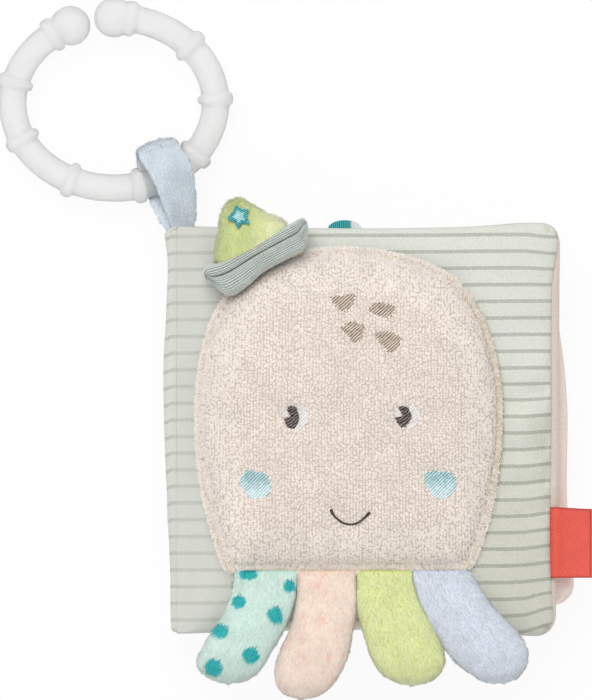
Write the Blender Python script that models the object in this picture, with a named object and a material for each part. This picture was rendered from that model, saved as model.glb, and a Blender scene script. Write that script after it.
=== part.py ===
"""Crinkle cloth book for a baby: two padded covers and a padded leaf sewn along one spine, a padded
head, legs and a hat on the front cover, and a plastic C-ring on a plush loop.

The closed book lies on its back cover. +Z is up, out of the front cover, +Y is the top of the book and
+X its open side. The origin is the middle of the back cover's flat outer face. Lengths are in metres
and angles in degrees.
"""

import math

import bmesh
import bpy
from mathutils import Matrix, Vector

# General clearances and cloth
GAP = 0.0003
CLOTH = 0.0008
FILM = 0.0002

# Pages: size of one page right of the stitch line, and its padded section
PAGE_WIDTH = 0.1023
PAGE_HEIGHT = 0.1107
PAGE_THICKNESS = 0.0100
PAGE_EDGE = 0.0024
PAGE_ROUND = 0.0120
PAGE_CORNER = 0.0046
PAGE_DRAWN_IN = 0.0009
PAGE_DEPTHS = (0, 0.0009, 0.0028, 0.0062, PAGE_ROUND)
FILL_DEPTHS = (0.0028, 0.0062, PAGE_ROUND)
LEAF_OVERHANG = 0.0036
LEAF_SHORTER = 0.0078
CORNER_STEPS = 3
SIDE_STEPS = 3

# Spine: wall left of the stitch line, the leaf's tape, and the height of the stitch line
SPINE_DEPTH = 0.0032
SPINE_ROUND = 0.0024
SPINE_LAP = 0.0006
TAPE_CLOTH = 0.0006
TAPE_LAP = 0.0005
ARC_STEPS = 4
CURVE_STEPS = 12

# Tab on the leaf's top edge
TAB_WIDTH = 0.0086
TAB_RISE = 0.0026
TAB_THICKNESS = 0.0012
TAB_OFFSET = -0.0057

# Side label: a folded woven tape
LABEL_LENGTH = 0.0100
LABEL_HEIGHT = 0.0192
LABEL_THICKNESS = 0.0013
LABEL_TAPE = 0.0005
LABEL_CENTRE_Y = -0.0304

# Head: padded pad with a flat sewn border
HEAD_WIDTH = 0.0829
HEAD_HEIGHT = 0.0872
HEAD_CENTRE_X = -0.0046
HEAD_CENTRE_Y = 0.0055
HEAD_RISE = 0.0118
HEAD_BORDER = 0.0017
HEAD_BORDER_SHARE = 0.052
HEAD_FULLNESS = 2.6
HEAD_POINTS = 40
HEAD_RING_SHARES = (1, 0.985, 0.94, 0.84, 0.65, 0.35)
HEAD_INNER_SHARES = (0.93, 0.84, 0.65, 0.35)
HEAD_FILL_SHARES = (0.90, 0.80, 0.60, 0.30)
HEAD_OUTLINE_SHARES = (
    (-0.98, -0.30),
    (-1.00, -0.05),
    (-0.97, 0.28),
    (-0.86, 0.61),
    (-0.60, 0.88),
    (-0.32, 0.975),
    (0.00, 1.00),
    (0.34, 0.965),
    (0.66, 0.83),
    (0.88, 0.55),
    (0.985, 0.20),
    (0.995, -0.15),
    (0.94, -0.56),
    (0.86, -0.85),
    (0.76, -0.985),
    (0.40, -1.00),
    (0.00, -1.00),
    (-0.45, -1.00),
    (-0.77, -0.99),
    (-0.87, -0.84),
    (-0.94, -0.58),
)

# Embroidery and applied spots on the head, placed from the head's centre
STITCH = 0.0006
PATCH_RING_SHARE = 0.55
EDGE_SLIP_SHARE = 0.000001
EYE_WIDTH = 0.0040
EYE_HEIGHT = 0.0062
EYE_SPREAD_SHARE = 0.364
EYE_RISE_SHARE = -0.046
GLINT_SIZE = 0.0018
GLINT_SHIFT = 0.0007
CHEEK_SIZE = 0.0084
CHEEK_SPREAD_SHARE = 0.603
CHEEK_RISE_SHARE = -0.461
MOUTH_WIDTH = 0.0105
MOUTH_DROP = 0.0044
MOUTH_RISE_SHARE = -0.615
MOUTH_THREAD = 0.0007
MOUTH_STEPS = 10
SPOT_WIDTH = 0.0066
SPOT_HEIGHT = 0.0047
SPOT_STITCH = 0.0009
SPOT_CENTRE_SHARES = ((-0.036, 0.672), (0.212, 0.622), (0.029, 0.492), (0.264, 0.424))
SPOT_TURNS = (0, 12, 200, 170)
SPOT_OUTLINE_SHARES = ((-0.95, 0.35), (0.10, 1.00), (0.95, 0.45), (0.45, -0.75), (-0.40, -0.80))
PATCH_POINTS = 16
SPOT_POINTS = 14

# Legs: sewn in flat at the head's lower edge, swelling to a round tip
LEG_LENGTH = 0.0300
LEG_WIDTH_SHARE = 0.2123
LEG_THICKNESS = 0.0084
LEG_SEAM = 0.0032
LEG_CLOTH = 0.0009
LEG_SIDES = 12
LEG_INNER_STATIONS = 5
LEG_NAMES = ("mint_leg", "peach_leg", "lime_leg", "blue_leg")
LEG_PITCH_SHARE = 0.90
LEG_ROW_OFFSET = 0.0012
LEG_THICKNESS_SHARES = (0.38, 0.70, 0.95, 1.00, 0.90, 0.62)
LEG_TIP_SHARE = 0.16
LEG_SHARES = {
    "mint_leg": (
        (0.00, 0.00, 0.455), (0.17, -0.02, 0.47), (0.36, -0.10, 0.465),
        (0.59, -0.27, 0.475), (0.77, -0.40, 0.48), (0.92, -0.51, 0.38), (1.00, -0.58, 0.00),
    ),
    "peach_leg": (
        (0.00, 0.00, 0.43), (0.22, -0.01, 0.44), (0.49, -0.07, 0.47),
        (0.72, -0.16, 0.51), (0.92, -0.28, 0.48), (1.05, -0.37, 0.34), (1.13, -0.42, 0.00),
    ),
    "lime_leg": (
        (0.00, 0.00, 0.42), (0.20, 0.03, 0.44), (0.41, 0.12, 0.46),
        (0.61, 0.24, 0.48), (0.80, 0.35, 0.46), (0.94, 0.44, 0.32), (1.02, 0.49, 0.00),
    ),
    "blue_leg": (
        (0.00, 0.00, 0.41), (0.17, 0.11, 0.42), (0.38, 0.30, 0.44),
        (0.59, 0.56, 0.46), (0.78, 0.82, 0.44), (0.90, 0.99, 0.30), (0.99, 1.10, 0.00),
    ),
}

# Hat: a stuffed cone in a ribbed cuff, in its own frame with v towards the tip
HAT_PLACE_SHARES = (-0.528, 0.860)
HAT_TURN = 28.0
HAT_TILT = -4.0
HAT_CUFF_WIDTH = 0.0290
HAT_CUFF_LENGTH = 0.0088
HAT_CUFF_THICKNESS = 0.0086
HAT_CUFF_SIDE = 0.0022
HAT_CUFF_CLOTH = 0.0014
HAT_CONE_START = 0.0016
HAT_CONE_LENGTH = 0.0198
HAT_CONE_CLOTH = 0.0009
HAT_SIDES = 18
HAT_CONE_SHARES = ((0.00, 1.00), (0.30, 0.98), (0.52, 0.74), (0.76, 0.49), (0.92, 0.27), (1.00, 0.10))
HAT_FILL_SHARES = (0.06, 0.30, 0.52, 0.76)
HAT_FILL_NARROWING = 0.86
HAT_LEAN_SHARE = 0.10
STAR_POINTS = 5
STAR_RADIUS = 0.0036
STAR_INNER_SHARE = 0.62
STAR_THICKNESS = 0.0010
STAR_PLACE_SHARE = 0.70

# Ring: an open oval of plastic rod with collars and a ball at each end
RING_LEFT_OF_STITCH = 0.01645
RING_ABOVE_PAGE = 0.03295
RING_HALF_WIDTH = 0.0273
RING_HALF_HEIGHT = 0.0230
RING_ROD = 0.0037
RING_COLLAR = 0.0049
RING_COLLAR_WIDTH = 0.0024
RING_COLLAR_SHOULDER = 0.0005
RING_BALL = 0.0054
RING_START = 90.0
RING_SWEEP = 334.5
RING_FIRST_COLLAR = 9.2
RING_COLLAR_STEP = 39.2
RING_COLLARS = 9
RING_STRETCH_STEPS = 4
RING_BALL_STEPS = 4
RING_SIDES = 10

# Loop: a plush strap from the spine's top end, folded round the ring
LOOP_RIGHT_OF_STITCH = 0.00035
LOOP_SEAM_Z = 0.0090
LOOP_THICKNESS = 0.0015
LOOP_SLACK = 0.0018
LOOP_CLEARANCE = 0.00075
LOOP_SEAM_WIDTH = 0.0078
LOOP_RING_WIDTH = 0.0118
LOOP_FOLD_STEPS = 12
LOOP_TAIL_SHARES = (0.75, 0.50, 0.25)
LOOP_BETWEEN_COLLARS = 3.5

SHARP_ANGLE = 40.0

# Heights worked out from the pages
BACK_MIDDLE = PAGE_THICKNESS / 2
LEAF_MIDDLE = BACK_MIDDLE + PAGE_THICKNESS + GAP
COVER_MIDDLE = LEAF_MIDDLE + PAGE_THICKNESS + GAP
COVER_TOP = COVER_MIDDLE + PAGE_THICKNESS / 2
HEAD_BASE = COVER_TOP + GAP
STITCH_X = -PAGE_WIDTH / 2
SPINE_TOP = COVER_MIDDLE + PAGE_EDGE / 2 + SPINE_LAP
STITCH_Z = SPINE_TOP + SPINE_LAP
PAGE_LEFT = STITCH_X + TAPE_CLOTH + GAP + GAP / 2
PAGE_RIGHT = PAGE_WIDTH / 2
LEG_WIDTH = HEAD_WIDTH * LEG_WIDTH_SHARE
LEAF_BOTTOM = LEAF_SHORTER - PAGE_HEIGHT / 2
RING_CENTRE_X = STITCH_X - RING_LEFT_OF_STITCH
RING_CENTRE_Y = PAGE_HEIGHT / 2 + RING_ABOVE_PAGE
RING_Z = RING_ROD + LOOP_CLEARANCE + LOOP_THICKNESS + GAP / 2

COLOURS = {
    "stripes": (0.74, 0.73, 0.68),
    "lining": (0.78, 0.66, 0.62),
    "wadding": (0.92, 0.92, 0.90),
    "film": (0.80, 0.82, 0.84),
    "terry": (0.74, 0.66, 0.60),
    "dark_thread": (0.09, 0.07, 0.06),
    "white_thread": (0.90, 0.90, 0.88),
    "aqua_thread": (0.48, 0.68, 0.72),
    "taupe": (0.46, 0.36, 0.32),
    "mint": (0.62, 0.82, 0.69),
    "peach": (0.88, 0.70, 0.56),
    "lime": (0.62, 0.70, 0.30),
    "blue": (0.64, 0.71, 0.80),
    "grey_green": (0.42, 0.45, 0.41),
    "teal": (0.02, 0.37, 0.37),
    "red": (0.82, 0.14, 0.10),
    "plastic": (0.86, 0.85, 0.84),
}
CLOTH_ROUGHNESS = 0.9
PLASTIC_ROUGHNESS = 0.35


# Scene and objects


def clear_scene():
    for obj in list(bpy.data.objects):
        bpy.data.objects.remove(obj, do_unlink=True)


def pivot(name, place, parent=None):
    """An empty at a joint, which the moving pieces hang from."""
    empty = bpy.data.objects.new(name, None)
    empty.empty_display_size = PAGE_EDGE
    bpy.context.scene.collection.objects.link(empty)
    empty.parent = parent
    above = Vector(parent["place"]) if parent else Vector()
    empty["place"] = tuple(place)
    empty.location = Vector(place) - above
    return empty


def material(name, colour):
    """A piece's own Principled material."""
    look = bpy.data.materials.new(name)
    look.use_nodes = True
    shader = look.node_tree.nodes["Principled BSDF"]
    shader.inputs["Base Color"].default_value = (*COLOURS[colour], 1)
    plastic = colour in ("plastic", "film")
    shader.inputs["Roughness"].default_value = PLASTIC_ROUGHNESS if plastic else CLOTH_ROUGHNESS
    shader.inputs["Metallic"].default_value = 0
    look.diffuse_color = (*COLOURS[colour], 1)
    return look


def add_piece(name, mesh_data, joint, colour):
    """An object whose origin lies on its joint."""
    place = Vector(joint["place"])
    mesh = bpy.data.meshes.new(name)
    mesh_data.normal_update()
    bmesh.ops.recalc_face_normals(mesh_data, faces=mesh_data.faces)
    mesh_data.to_mesh(mesh)
    mesh_data.free()
    mesh.transform(Matrix.Translation(-place))
    mesh.shade_smooth()
    mesh.set_sharp_from_angle(angle=math.radians(SHARP_ANGLE))
    mesh.materials.append(material(name, colour))
    obj = bpy.data.objects.new(name, mesh)
    bpy.context.scene.collection.objects.link(obj)
    obj.parent = joint
    return obj


# Meshes from stacks of rings


def add_rings(mesh_data, rings):
    return [[mesh_data.verts.new(point) for point in ring] for ring in rings]


def bridge(mesh_data, first, second):
    """Quads between two rings with as many points."""
    count = len(first)
    for i in range(count):
        j = (i + 1) % count
        mesh_data.faces.new((first[i], first[j], second[j], second[i]))


def close(mesh_data, ring, middle=None):
    """A flat face over a ring, or a fan to its middle point."""
    if middle is None:
        mesh_data.faces.new(ring)
        return
    centre = mesh_data.verts.new(middle)
    for i, vert in enumerate(ring):
        mesh_data.faces.new((vert, ring[(i + 1) % len(ring)], centre))


def two_sided(upper, lower, upper_middle=None, lower_middle=None):
    """A closed body of two stacks of rings, each from the shared rim to its middle."""
    mesh_data = bmesh.new()
    top = add_rings(mesh_data, upper)
    bottom = add_rings(mesh_data, lower)
    bridge(mesh_data, top[0], bottom[0])
    for stack, middle in ((top, upper_middle), (bottom, lower_middle)):
        for first, second in zip(stack, stack[1:]):
            bridge(mesh_data, first, second)
        close(mesh_data, stack[-1], middle)
    return mesh_data


def band(rings):
    """A closed body whose rings follow each other round a hole."""
    mesh_data = bmesh.new()
    made = add_rings(mesh_data, rings)
    for first, second in zip(made, made[1:] + made[:1]):
        bridge(mesh_data, first, second)
    return mesh_data


def prism(section, start, end):
    """A section in X and Z, drawn along Y."""
    rings = [[Vector((x, y, z)) for x, z in section] for y in (start, end)]
    return two_sided(rings[:1], rings[1:])


# Curves


def smooth_closed(points, count):
    """Evenly spaced points on the smooth closed curve through the given ones."""
    fine = []
    total = len(points)
    for i in range(total):
        a, b, c, d = (Vector(points[(i + k) % total]) for k in (-1, 0, 1, 2))
        for step in range(CURVE_STEPS):
            t = step / CURVE_STEPS
            fine.append(
                ((b * 2) + (c - a) * t + (a * 2 - b * 5 + c * 4 - d) * t**2
                 + (b * 3 - a - c * 3 + d) * t**3) / 2
            )
    return evenly(fine, count)


def evenly(points, count):
    """Points at even steps along a closed line."""
    ends = points[1:] + points[:1]
    lengths = [(b - a).length for a, b in zip(points, ends)]
    step = sum(lengths) / count
    found = []
    passed = 0
    for a, b, length in zip(points, ends, lengths):
        while len(found) < count and len(found) * step < passed + length:
            found.append(a.lerp(b, (len(found) * step - passed) / length))
        passed += length
    return found


def arc(centre, radius, start, end, steps):
    """Points of an arc in a plane, both ends included."""
    angles = [math.radians(start + (end - start) * i / steps) for i in range(steps + 1)]
    return [Vector((centre[0] + radius * math.cos(a), centre[1] + radius * math.sin(a))) for a in angles]


def oval(half_width, half_height, count):
    angles = [2 * math.pi * i / count for i in range(count)]
    return [Vector((half_width * math.cos(a), half_height * math.sin(a))) for a in angles]


def shrunk(outline, centre, share):
    return [centre + (point - centre) * share for point in outline]


# Pages


def page_outline(left, right, bottom):
    """A rounded rectangle whose sides are drawn in a little by the padding."""
    top = PAGE_HEIGHT / 2
    inner = PAGE_CORNER
    centres = ((right - inner, top - inner), (left + inner, top - inner),
               (left + inner, bottom + inner), (right - inner, bottom + inner))
    points = []
    for turn, centre in enumerate(centres):
        start = turn * 90
        points += arc(centre, PAGE_CORNER, start, start + 90, CORNER_STEPS)
        follow = arc(centres[(turn + 1) % 4], PAGE_CORNER, start + 90, start + 90, 1)[0]
        last = points[-1]
        points += [last.lerp(follow, step / SIDE_STEPS) for step in range(1, SIDE_STEPS)]
    middle = Vector(((left + right) / 2, (top + bottom) / 2))
    half_width = (right - left) / 2
    drawn = []
    for point in points:
        across = (point.x - middle.x) / half_width
        along = (point.y - middle.y) / (top - middle.y)
        drawn.append(Vector((
            point.x - PAGE_DRAWN_IN * across * (1 - along**2),
            point.y - PAGE_DRAWN_IN * along * (1 - across**2),
        )))
    return drawn, middle


def crown(depth):
    """How far the page has risen, 0 at its edge and 1 where it is full."""
    left = 1 - min(depth / PAGE_ROUND, 1)
    return math.sqrt(1 - left**2)


def page_level(depth):
    """Height of a page's face over its middle plane."""
    return PAGE_EDGE / 2 + (PAGE_THICKNESS - PAGE_EDGE) / 2 * crown(depth)


def page_ring(outline, centre, depth, height):
    share = 1 - depth / (PAGE_HEIGHT / 2)
    return [Vector((p.x, p.y, height)) for p in shrunk(outline, centre, share)]


def page_panel(outline, centre, middle, side):
    """One cloth of a page, open towards the page's middle plane."""
    rim = middle + side * GAP / 2
    outer = [page_ring(outline, centre, 0, rim)]
    outer += [page_ring(outline, centre, d, middle + side * page_level(d)) for d in PAGE_DEPTHS]
    inner = [page_ring(outline, centre, CLOTH, rim)]
    inner += [
        page_ring(outline, centre, d, middle + side * (page_level(d) - CLOTH)) for d in PAGE_DEPTHS[2:]
    ]
    return two_sided(outer, inner)


def page_film(outline, centre, middle, side):
    """The crinkle film under a page's outer cloth."""
    levels = [(d, page_level(d) - CLOTH - GAP) for d in FILL_DEPTHS]
    outer = [page_ring(outline, centre, d, middle + side * z) for d, z in levels]
    inner = [page_ring(outline, centre, d, middle + side * (z - FILM)) for d, z in levels]
    return two_sided(outer, inner)


def page_wadding(outline, centre, middle, side):
    """The padding between the film and the page's other cloth."""
    levels = [(d, page_level(d) - CLOTH - GAP) for d in FILL_DEPTHS]
    under_film = FILM + GAP
    upper = [page_ring(outline, centre, d, middle + side * (z - under_film)) for d, z in levels]
    lower = [page_ring(outline, centre, d, middle - side * z) for d, z in levels]
    return two_sided(upper, lower)


def make_page(prefix, names, joint, middle, side, corner, colours):
    """The four pieces of a page. side is +1 where the film lies under the upper cloth."""
    outline, centre = page_outline(PAGE_LEFT, *corner)
    outer_name, inner_name = names
    add_piece(outer_name, page_panel(outline, centre, middle, side), joint, colours[0])
    add_piece(inner_name, page_panel(outline, centre, middle, -side), joint, colours[1])
    add_piece(prefix + "_film", page_film(outline, centre, middle, side), joint, "film")
    add_piece(prefix + "_wadding", page_wadding(outline, centre, middle, side), joint, "wadding")


def make_spine(root):
    """The cloth wall left of the stitch line, turned in over the back cover's and front cover's edges."""
    left = STITCH_X - SPINE_DEPTH
    end = STITCH_X - GAP / 2
    low = BACK_MIDDLE - PAGE_EDGE / 2 - SPINE_LAP

    def side(inset):
        turn = SPINE_ROUND - inset
        bottom = arc((left + SPINE_ROUND, low + SPINE_ROUND), turn, 270, 180, ARC_STEPS)
        top = arc((left + SPINE_ROUND, SPINE_TOP - SPINE_ROUND), turn, 180, 90, ARC_STEPS)
        return [Vector((end, low + inset)), *bottom, *top, Vector((end, SPINE_TOP - inset))]

    section = side(0) + side(CLOTH)[::-1]
    reach = PAGE_HEIGHT / 2
    add_piece("spine_panel", prism(section, -reach, reach), root, "stripes")


def make_leaf_tape(leaf):
    """The leaf's seam allowance, which runs up beside the front cover's edge to the stitch line."""
    left = STITCH_X + GAP / 2
    right = left + TAPE_CLOTH
    low = LEAF_MIDDLE - PAGE_EDGE / 2
    high = STITCH_Z - TAPE_LAP
    section = [Vector((left, low)), Vector((right, low)), Vector((right, high)), Vector((left, high))]
    tape = prism(section, LEAF_BOTTOM + PAGE_CORNER, PAGE_HEIGHT / 2 - PAGE_CORNER)
    add_piece("leaf_seam_tape", tape, leaf, "lining")


def make_leaf_tab(leaf):
    """A small round tab sewn to the leaf's top edge."""
    low = PAGE_HEIGHT / 2 - PAGE_DRAWN_IN + GAP
    radius = ((TAB_WIDTH / 2) ** 2 + TAB_RISE**2) / (2 * TAB_RISE)
    half = math.degrees(math.asin(TAB_WIDTH / 2 / radius))
    steps = 2 * ARC_STEPS
    edge = arc((TAB_OFFSET, low + TAB_RISE - radius), radius, 90 - half, 90 + half, steps)
    low_side = LEAF_MIDDLE - TAB_THICKNESS / 2
    rings = [[Vector((p.x, p.y, low_side + rise)) for p in edge] for rise in (TAB_THICKNESS, 0)]
    add_piece("leaf_tab", two_sided(rings[:1], rings[1:]), leaf, "teal")


def make_label(label):
    """A woven tape folded double, with its fold away from the cover."""
    left = PAGE_RIGHT + GAP
    right = left + LABEL_LENGTH
    half = LABEL_THICKNESS / 2
    slit = half - LABEL_TAPE
    fold = arc((right - half, COVER_MIDDLE), half, -90, 90, ARC_STEPS)
    inner = arc((right - half, COVER_MIDDLE), slit, 90, -90, ARC_STEPS)
    section = [Vector((left, COVER_MIDDLE - half)), *fold, Vector((left, COVER_MIDDLE + half)),
               Vector((left, COVER_MIDDLE + slit)), *inner, Vector((left, COVER_MIDDLE - slit))]
    low = LABEL_CENTRE_Y - LABEL_HEIGHT / 2
    add_piece("side_label", prism(section, low, low + LABEL_HEIGHT), label, "red")


# Head


HEAD_CENTRE = Vector((HEAD_CENTRE_X, HEAD_CENTRE_Y))
DOME_SHARE = 1 - HEAD_BORDER_SHARE


def on_head(across, up):
    """A point on the head, in shares of its half width and half height from its centre."""
    return HEAD_CENTRE + Vector((across * HEAD_WIDTH / 2, up * HEAD_HEIGHT / 2))


def head_outline():
    return smooth_closed([on_head(*shares) for shares in HEAD_OUTLINE_SHARES], HEAD_POINTS)


def dome(share):
    """Height of the head over its base, for a share of the way from its centre to its dome's edge."""
    return HEAD_BORDER + HEAD_RISE * math.sqrt(max(1 - share**HEAD_FULLNESS, 0))


def share_at(outline, point):
    """How far a point lies from the head's centre, as a share of the dome's reach that way."""
    offset = point - HEAD_CENTRE
    if offset.length < GAP:
        return 0
    for a, b in zip(outline, outline[1:] + outline[:1]):
        first, second = a - HEAD_CENTRE, b - HEAD_CENTRE
        along = second - first
        bottom = offset.x * along.y - offset.y * along.x
        if bottom == 0:
            continue
        reach = (first.x * along.y - first.y * along.x) / bottom
        where = (first.x * offset.y - first.y * offset.x) / bottom
        if reach > 0 and -EDGE_SLIP_SHARE <= where <= 1 + EDGE_SLIP_SHARE:
            return 1 / (reach * DOME_SHARE)
    return 1


def head_ring(outline, share, height):
    points = shrunk(outline, HEAD_CENTRE, share)
    return [Vector((p.x, p.y, HEAD_BASE + height)) for p in points]


def make_head(cover, outline):
    """The terry pad with its border, open towards the cover, and its stuffing."""
    outer = [head_ring(outline, 1, 0), head_ring(outline, 1, HEAD_BORDER)]
    outer += [head_ring(outline, s * DOME_SHARE, dome(s)) for s in HEAD_RING_SHARES]
    first = HEAD_INNER_SHARES[0]
    inner = [head_ring(outline, first * DOME_SHARE, 0)]
    inner += [head_ring(outline, s * DOME_SHARE, dome(s) - CLOTH) for s in HEAD_INNER_SHARES]
    top = Vector((*HEAD_CENTRE, HEAD_BASE + dome(0)))
    shell = two_sided(outer, inner, top, top - Vector((0, 0, CLOTH)))
    add_piece("head_panel", shell, cover, "terry")
    under = CLOTH + 2 * GAP
    fill = [head_ring(outline, s * DOME_SHARE, dome(s) - under) for s in HEAD_FILL_SHARES]
    floor = [head_ring(outline, HEAD_FILL_SHARES[0] * DOME_SHARE, 0)]
    stuffing = two_sided(fill, floor, top - Vector((0, 0, under)))
    add_piece("head_stuffing", stuffing, cover, "wadding")


def patch(outline, edge, centre, lift, thickness):
    """A thin raised patch that follows the dome, thickest in its middle."""

    def ring(points, height):
        return [Vector((p.x, p.y, HEAD_BASE + dome(share_at(outline, p)) + height)) for p in points]

    low, high = lift, lift + thickness
    inside = shrunk(edge, centre, PATCH_RING_SHARE)
    upper = [ring(edge, low + thickness / 2), ring(inside, high)]
    lower = [ring(edge, low), ring(inside, low)]
    return two_sided(upper, lower, ring([centre], high)[0], ring([centre], low)[0])


def make_face(cover, outline):
    """Embroidered eyes, glints, cheeks and mouth, and four applied spots."""
    on_eye = 2 * GAP + STITCH
    for side, sign in (("left", -1), ("right", 1)):
        eye = on_head(sign * EYE_SPREAD_SHARE, EYE_RISE_SHARE)
        edge = [eye + p for p in oval(EYE_WIDTH / 2, EYE_HEIGHT / 2, PATCH_POINTS)]
        add_piece(side + "_eye", patch(outline, edge, eye, GAP, STITCH), cover, "dark_thread")
        glint = eye + Vector((-GLINT_SHIFT, GLINT_SHIFT))
        edge = [glint + p for p in oval(GLINT_SIZE / 2, GLINT_SIZE / 2, PATCH_POINTS)]
        piece = patch(outline, edge, glint, on_eye, STITCH / 2)
        add_piece(side + "_eye_glint", piece, cover, "white_thread")
        cheek = on_head(sign * CHEEK_SPREAD_SHARE, CHEEK_RISE_SHARE)
        edge = [cheek + p for p in oval(CHEEK_SIZE / 2, CHEEK_SIZE / 2, PATCH_POINTS)]
        add_piece(side + "_cheek", patch(outline, edge, cheek, GAP, STITCH), cover, "aqua_thread")
    add_piece("mouth", mouth(outline), cover, "dark_thread")
    half = Vector((SPOT_WIDTH / 2, SPOT_HEIGHT / 2))
    for number, (place, turn) in enumerate(zip(SPOT_CENTRE_SHARES, SPOT_TURNS), 1):
        spot = on_head(*place)
        turned = Matrix.Rotation(math.radians(turn), 2)
        corners = [spot + turned @ Vector((x * half.x, y * half.y)) for x, y in SPOT_OUTLINE_SHARES]
        edge = smooth_closed(corners, SPOT_POINTS)
        piece = patch(outline, edge, spot, GAP, SPOT_STITCH)
        add_piece(f"head_spot_{number}", piece, cover, "taupe")


def mouth(outline):
    """A smiling line of thread: a thin strip along half an oval."""
    middle = on_head(0, MOUTH_RISE_SHARE)
    half = MOUTH_THREAD / 2
    outer = []
    inner = []
    for step in range(MOUTH_STEPS + 1):
        angle = math.pi * (1 + step / MOUTH_STEPS)
        way = Vector((math.cos(angle), math.sin(angle)))
        outer.append(middle + Vector((way.x * (MOUTH_WIDTH / 2 + half), way.y * (MOUTH_DROP + half))))
        inner.append(middle + Vector((way.x * (MOUTH_WIDTH / 2 - half), way.y * (MOUTH_DROP - half))))
    mesh_data = bmesh.new()
    rows = []
    for line, lift in ((outer, GAP), (outer, GAP + STITCH), (inner, GAP + STITCH), (inner, GAP)):
        levels = [HEAD_BASE + dome(share_at(outline, p)) + lift for p in line]
        rows.append([mesh_data.verts.new((p.x, p.y, z)) for p, z in zip(line, levels)])
    for row, following in zip(rows, rows[1:] + rows[:1]):
        for i in range(MOUTH_STEPS):
            mesh_data.faces.new((row[i], row[i + 1], following[i + 1], following[i]))
    for i in (0, MOUTH_STEPS):
        mesh_data.faces.new([row[i] for row in rows])
    return mesh_data


# Legs


LEG_ROOT_Y = HEAD_CENTRE_Y - HEAD_HEIGHT / 2 - GAP
LEG_HINGE_Z = HEAD_BASE + LEG_SEAM + GAP


def leg_rings(root, shares, inset, first, sides):
    """Rings across a leg, whose underside stays level. inset is taken off all round."""
    rings = []
    places = [root + Vector((across * LEG_WIDTH, -along * LEG_LENGTH)) for along, across, _ in shares]
    for i in range(first, len(LEG_THICKNESS_SHARES)):
        before, after = places[max(i - 1, 0)], places[i + 1]
        way = (after - before).normalized() if i else Vector((0, -1))
        across = Vector((-way.y, way.x))
        half_width = shares[i][2] * LEG_WIDTH - inset
        half_height = LEG_THICKNESS_SHARES[i] * LEG_THICKNESS / 2
        middle = HEAD_BASE + half_height
        ring = []
        for corner in oval(half_width, half_height - inset, sides):
            flat = places[i] + across * corner.x
            ring.append(Vector((flat.x, flat.y, middle + corner.y)))
        rings.append(ring)
    return rings


def leg_tip(root, shares, inset):
    """The tip's point, a little below the middle of the last ring's thickness."""
    along, across, _ = shares[-1]
    place = root + Vector((across * LEG_WIDTH, inset - along * LEG_LENGTH))
    return Vector((place.x, place.y, HEAD_BASE + LEG_THICKNESS * LEG_TIP_SHARE + inset))


def make_leg(name, pivot_at, colour):
    """A plush sock, open at its sewn end, and its stuffing."""
    root = Vector((pivot_at["place"][0], LEG_ROOT_Y))
    shares = LEG_SHARES[name]
    outer = leg_rings(root, shares, 0, 0, LEG_SIDES)
    inner = leg_rings(root, shares, LEG_CLOTH, 0, LEG_SIDES)[:LEG_INNER_STATIONS]
    sock = two_sided(outer, inner, leg_tip(root, shares, 0))
    add_piece(name, sock, pivot_at, colour)
    fill = leg_rings(root, shares, LEG_CLOTH + 2 * GAP, 1, LEG_SIDES)[: LEG_INNER_STATIONS - 2]
    add_piece(name + "_stuffing", two_sided(fill[:1], fill[1:]), pivot_at, "wadding")


# Hat


HAT_BASE_Z = HEAD_BASE + HEAD_BORDER + 2 * GAP
HAT_FRAME = (
    Matrix.Translation((*on_head(*HAT_PLACE_SHARES), HAT_BASE_Z))
    @ Matrix.Rotation(math.radians(HAT_TURN), 4, "Z")
    @ Matrix.Rotation(math.radians(HAT_TILT), 4, "X")
)


def hat_ring(half_width, half_height, along, lean=0):
    """An oval ring across the hat, in the hat's frame."""
    middle = HAT_CUFF_THICKNESS / 2
    points = oval(half_width, half_height, HAT_SIDES)
    return [Vector((p.x + lean, along, p.y + middle)) for p in points]


def add_hat_piece(name, mesh_data, hat, colour):
    bmesh.ops.transform(mesh_data, matrix=HAT_FRAME, verts=mesh_data.verts)
    return add_piece(name, mesh_data, hat, colour)


def cone_ring(along_share, width_share, inset):
    """A ring of the cone, which leans a little towards the head's middle."""
    room = GAP + HAT_LEAN_SHARE * HAT_CUFF_LENGTH
    half_width = HAT_CUFF_WIDTH / 2 - HAT_CUFF_SIDE - room
    half_height = HAT_CUFF_THICKNESS / 2 - HAT_CUFF_CLOTH - GAP
    along = HAT_CONE_START + HAT_CONE_LENGTH * along_share
    lean = HAT_LEAN_SHARE * HAT_CONE_LENGTH * along_share
    height_share = math.sqrt(width_share)
    return hat_ring(half_width * width_share - inset, half_height * height_share - inset, along, lean)


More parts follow.
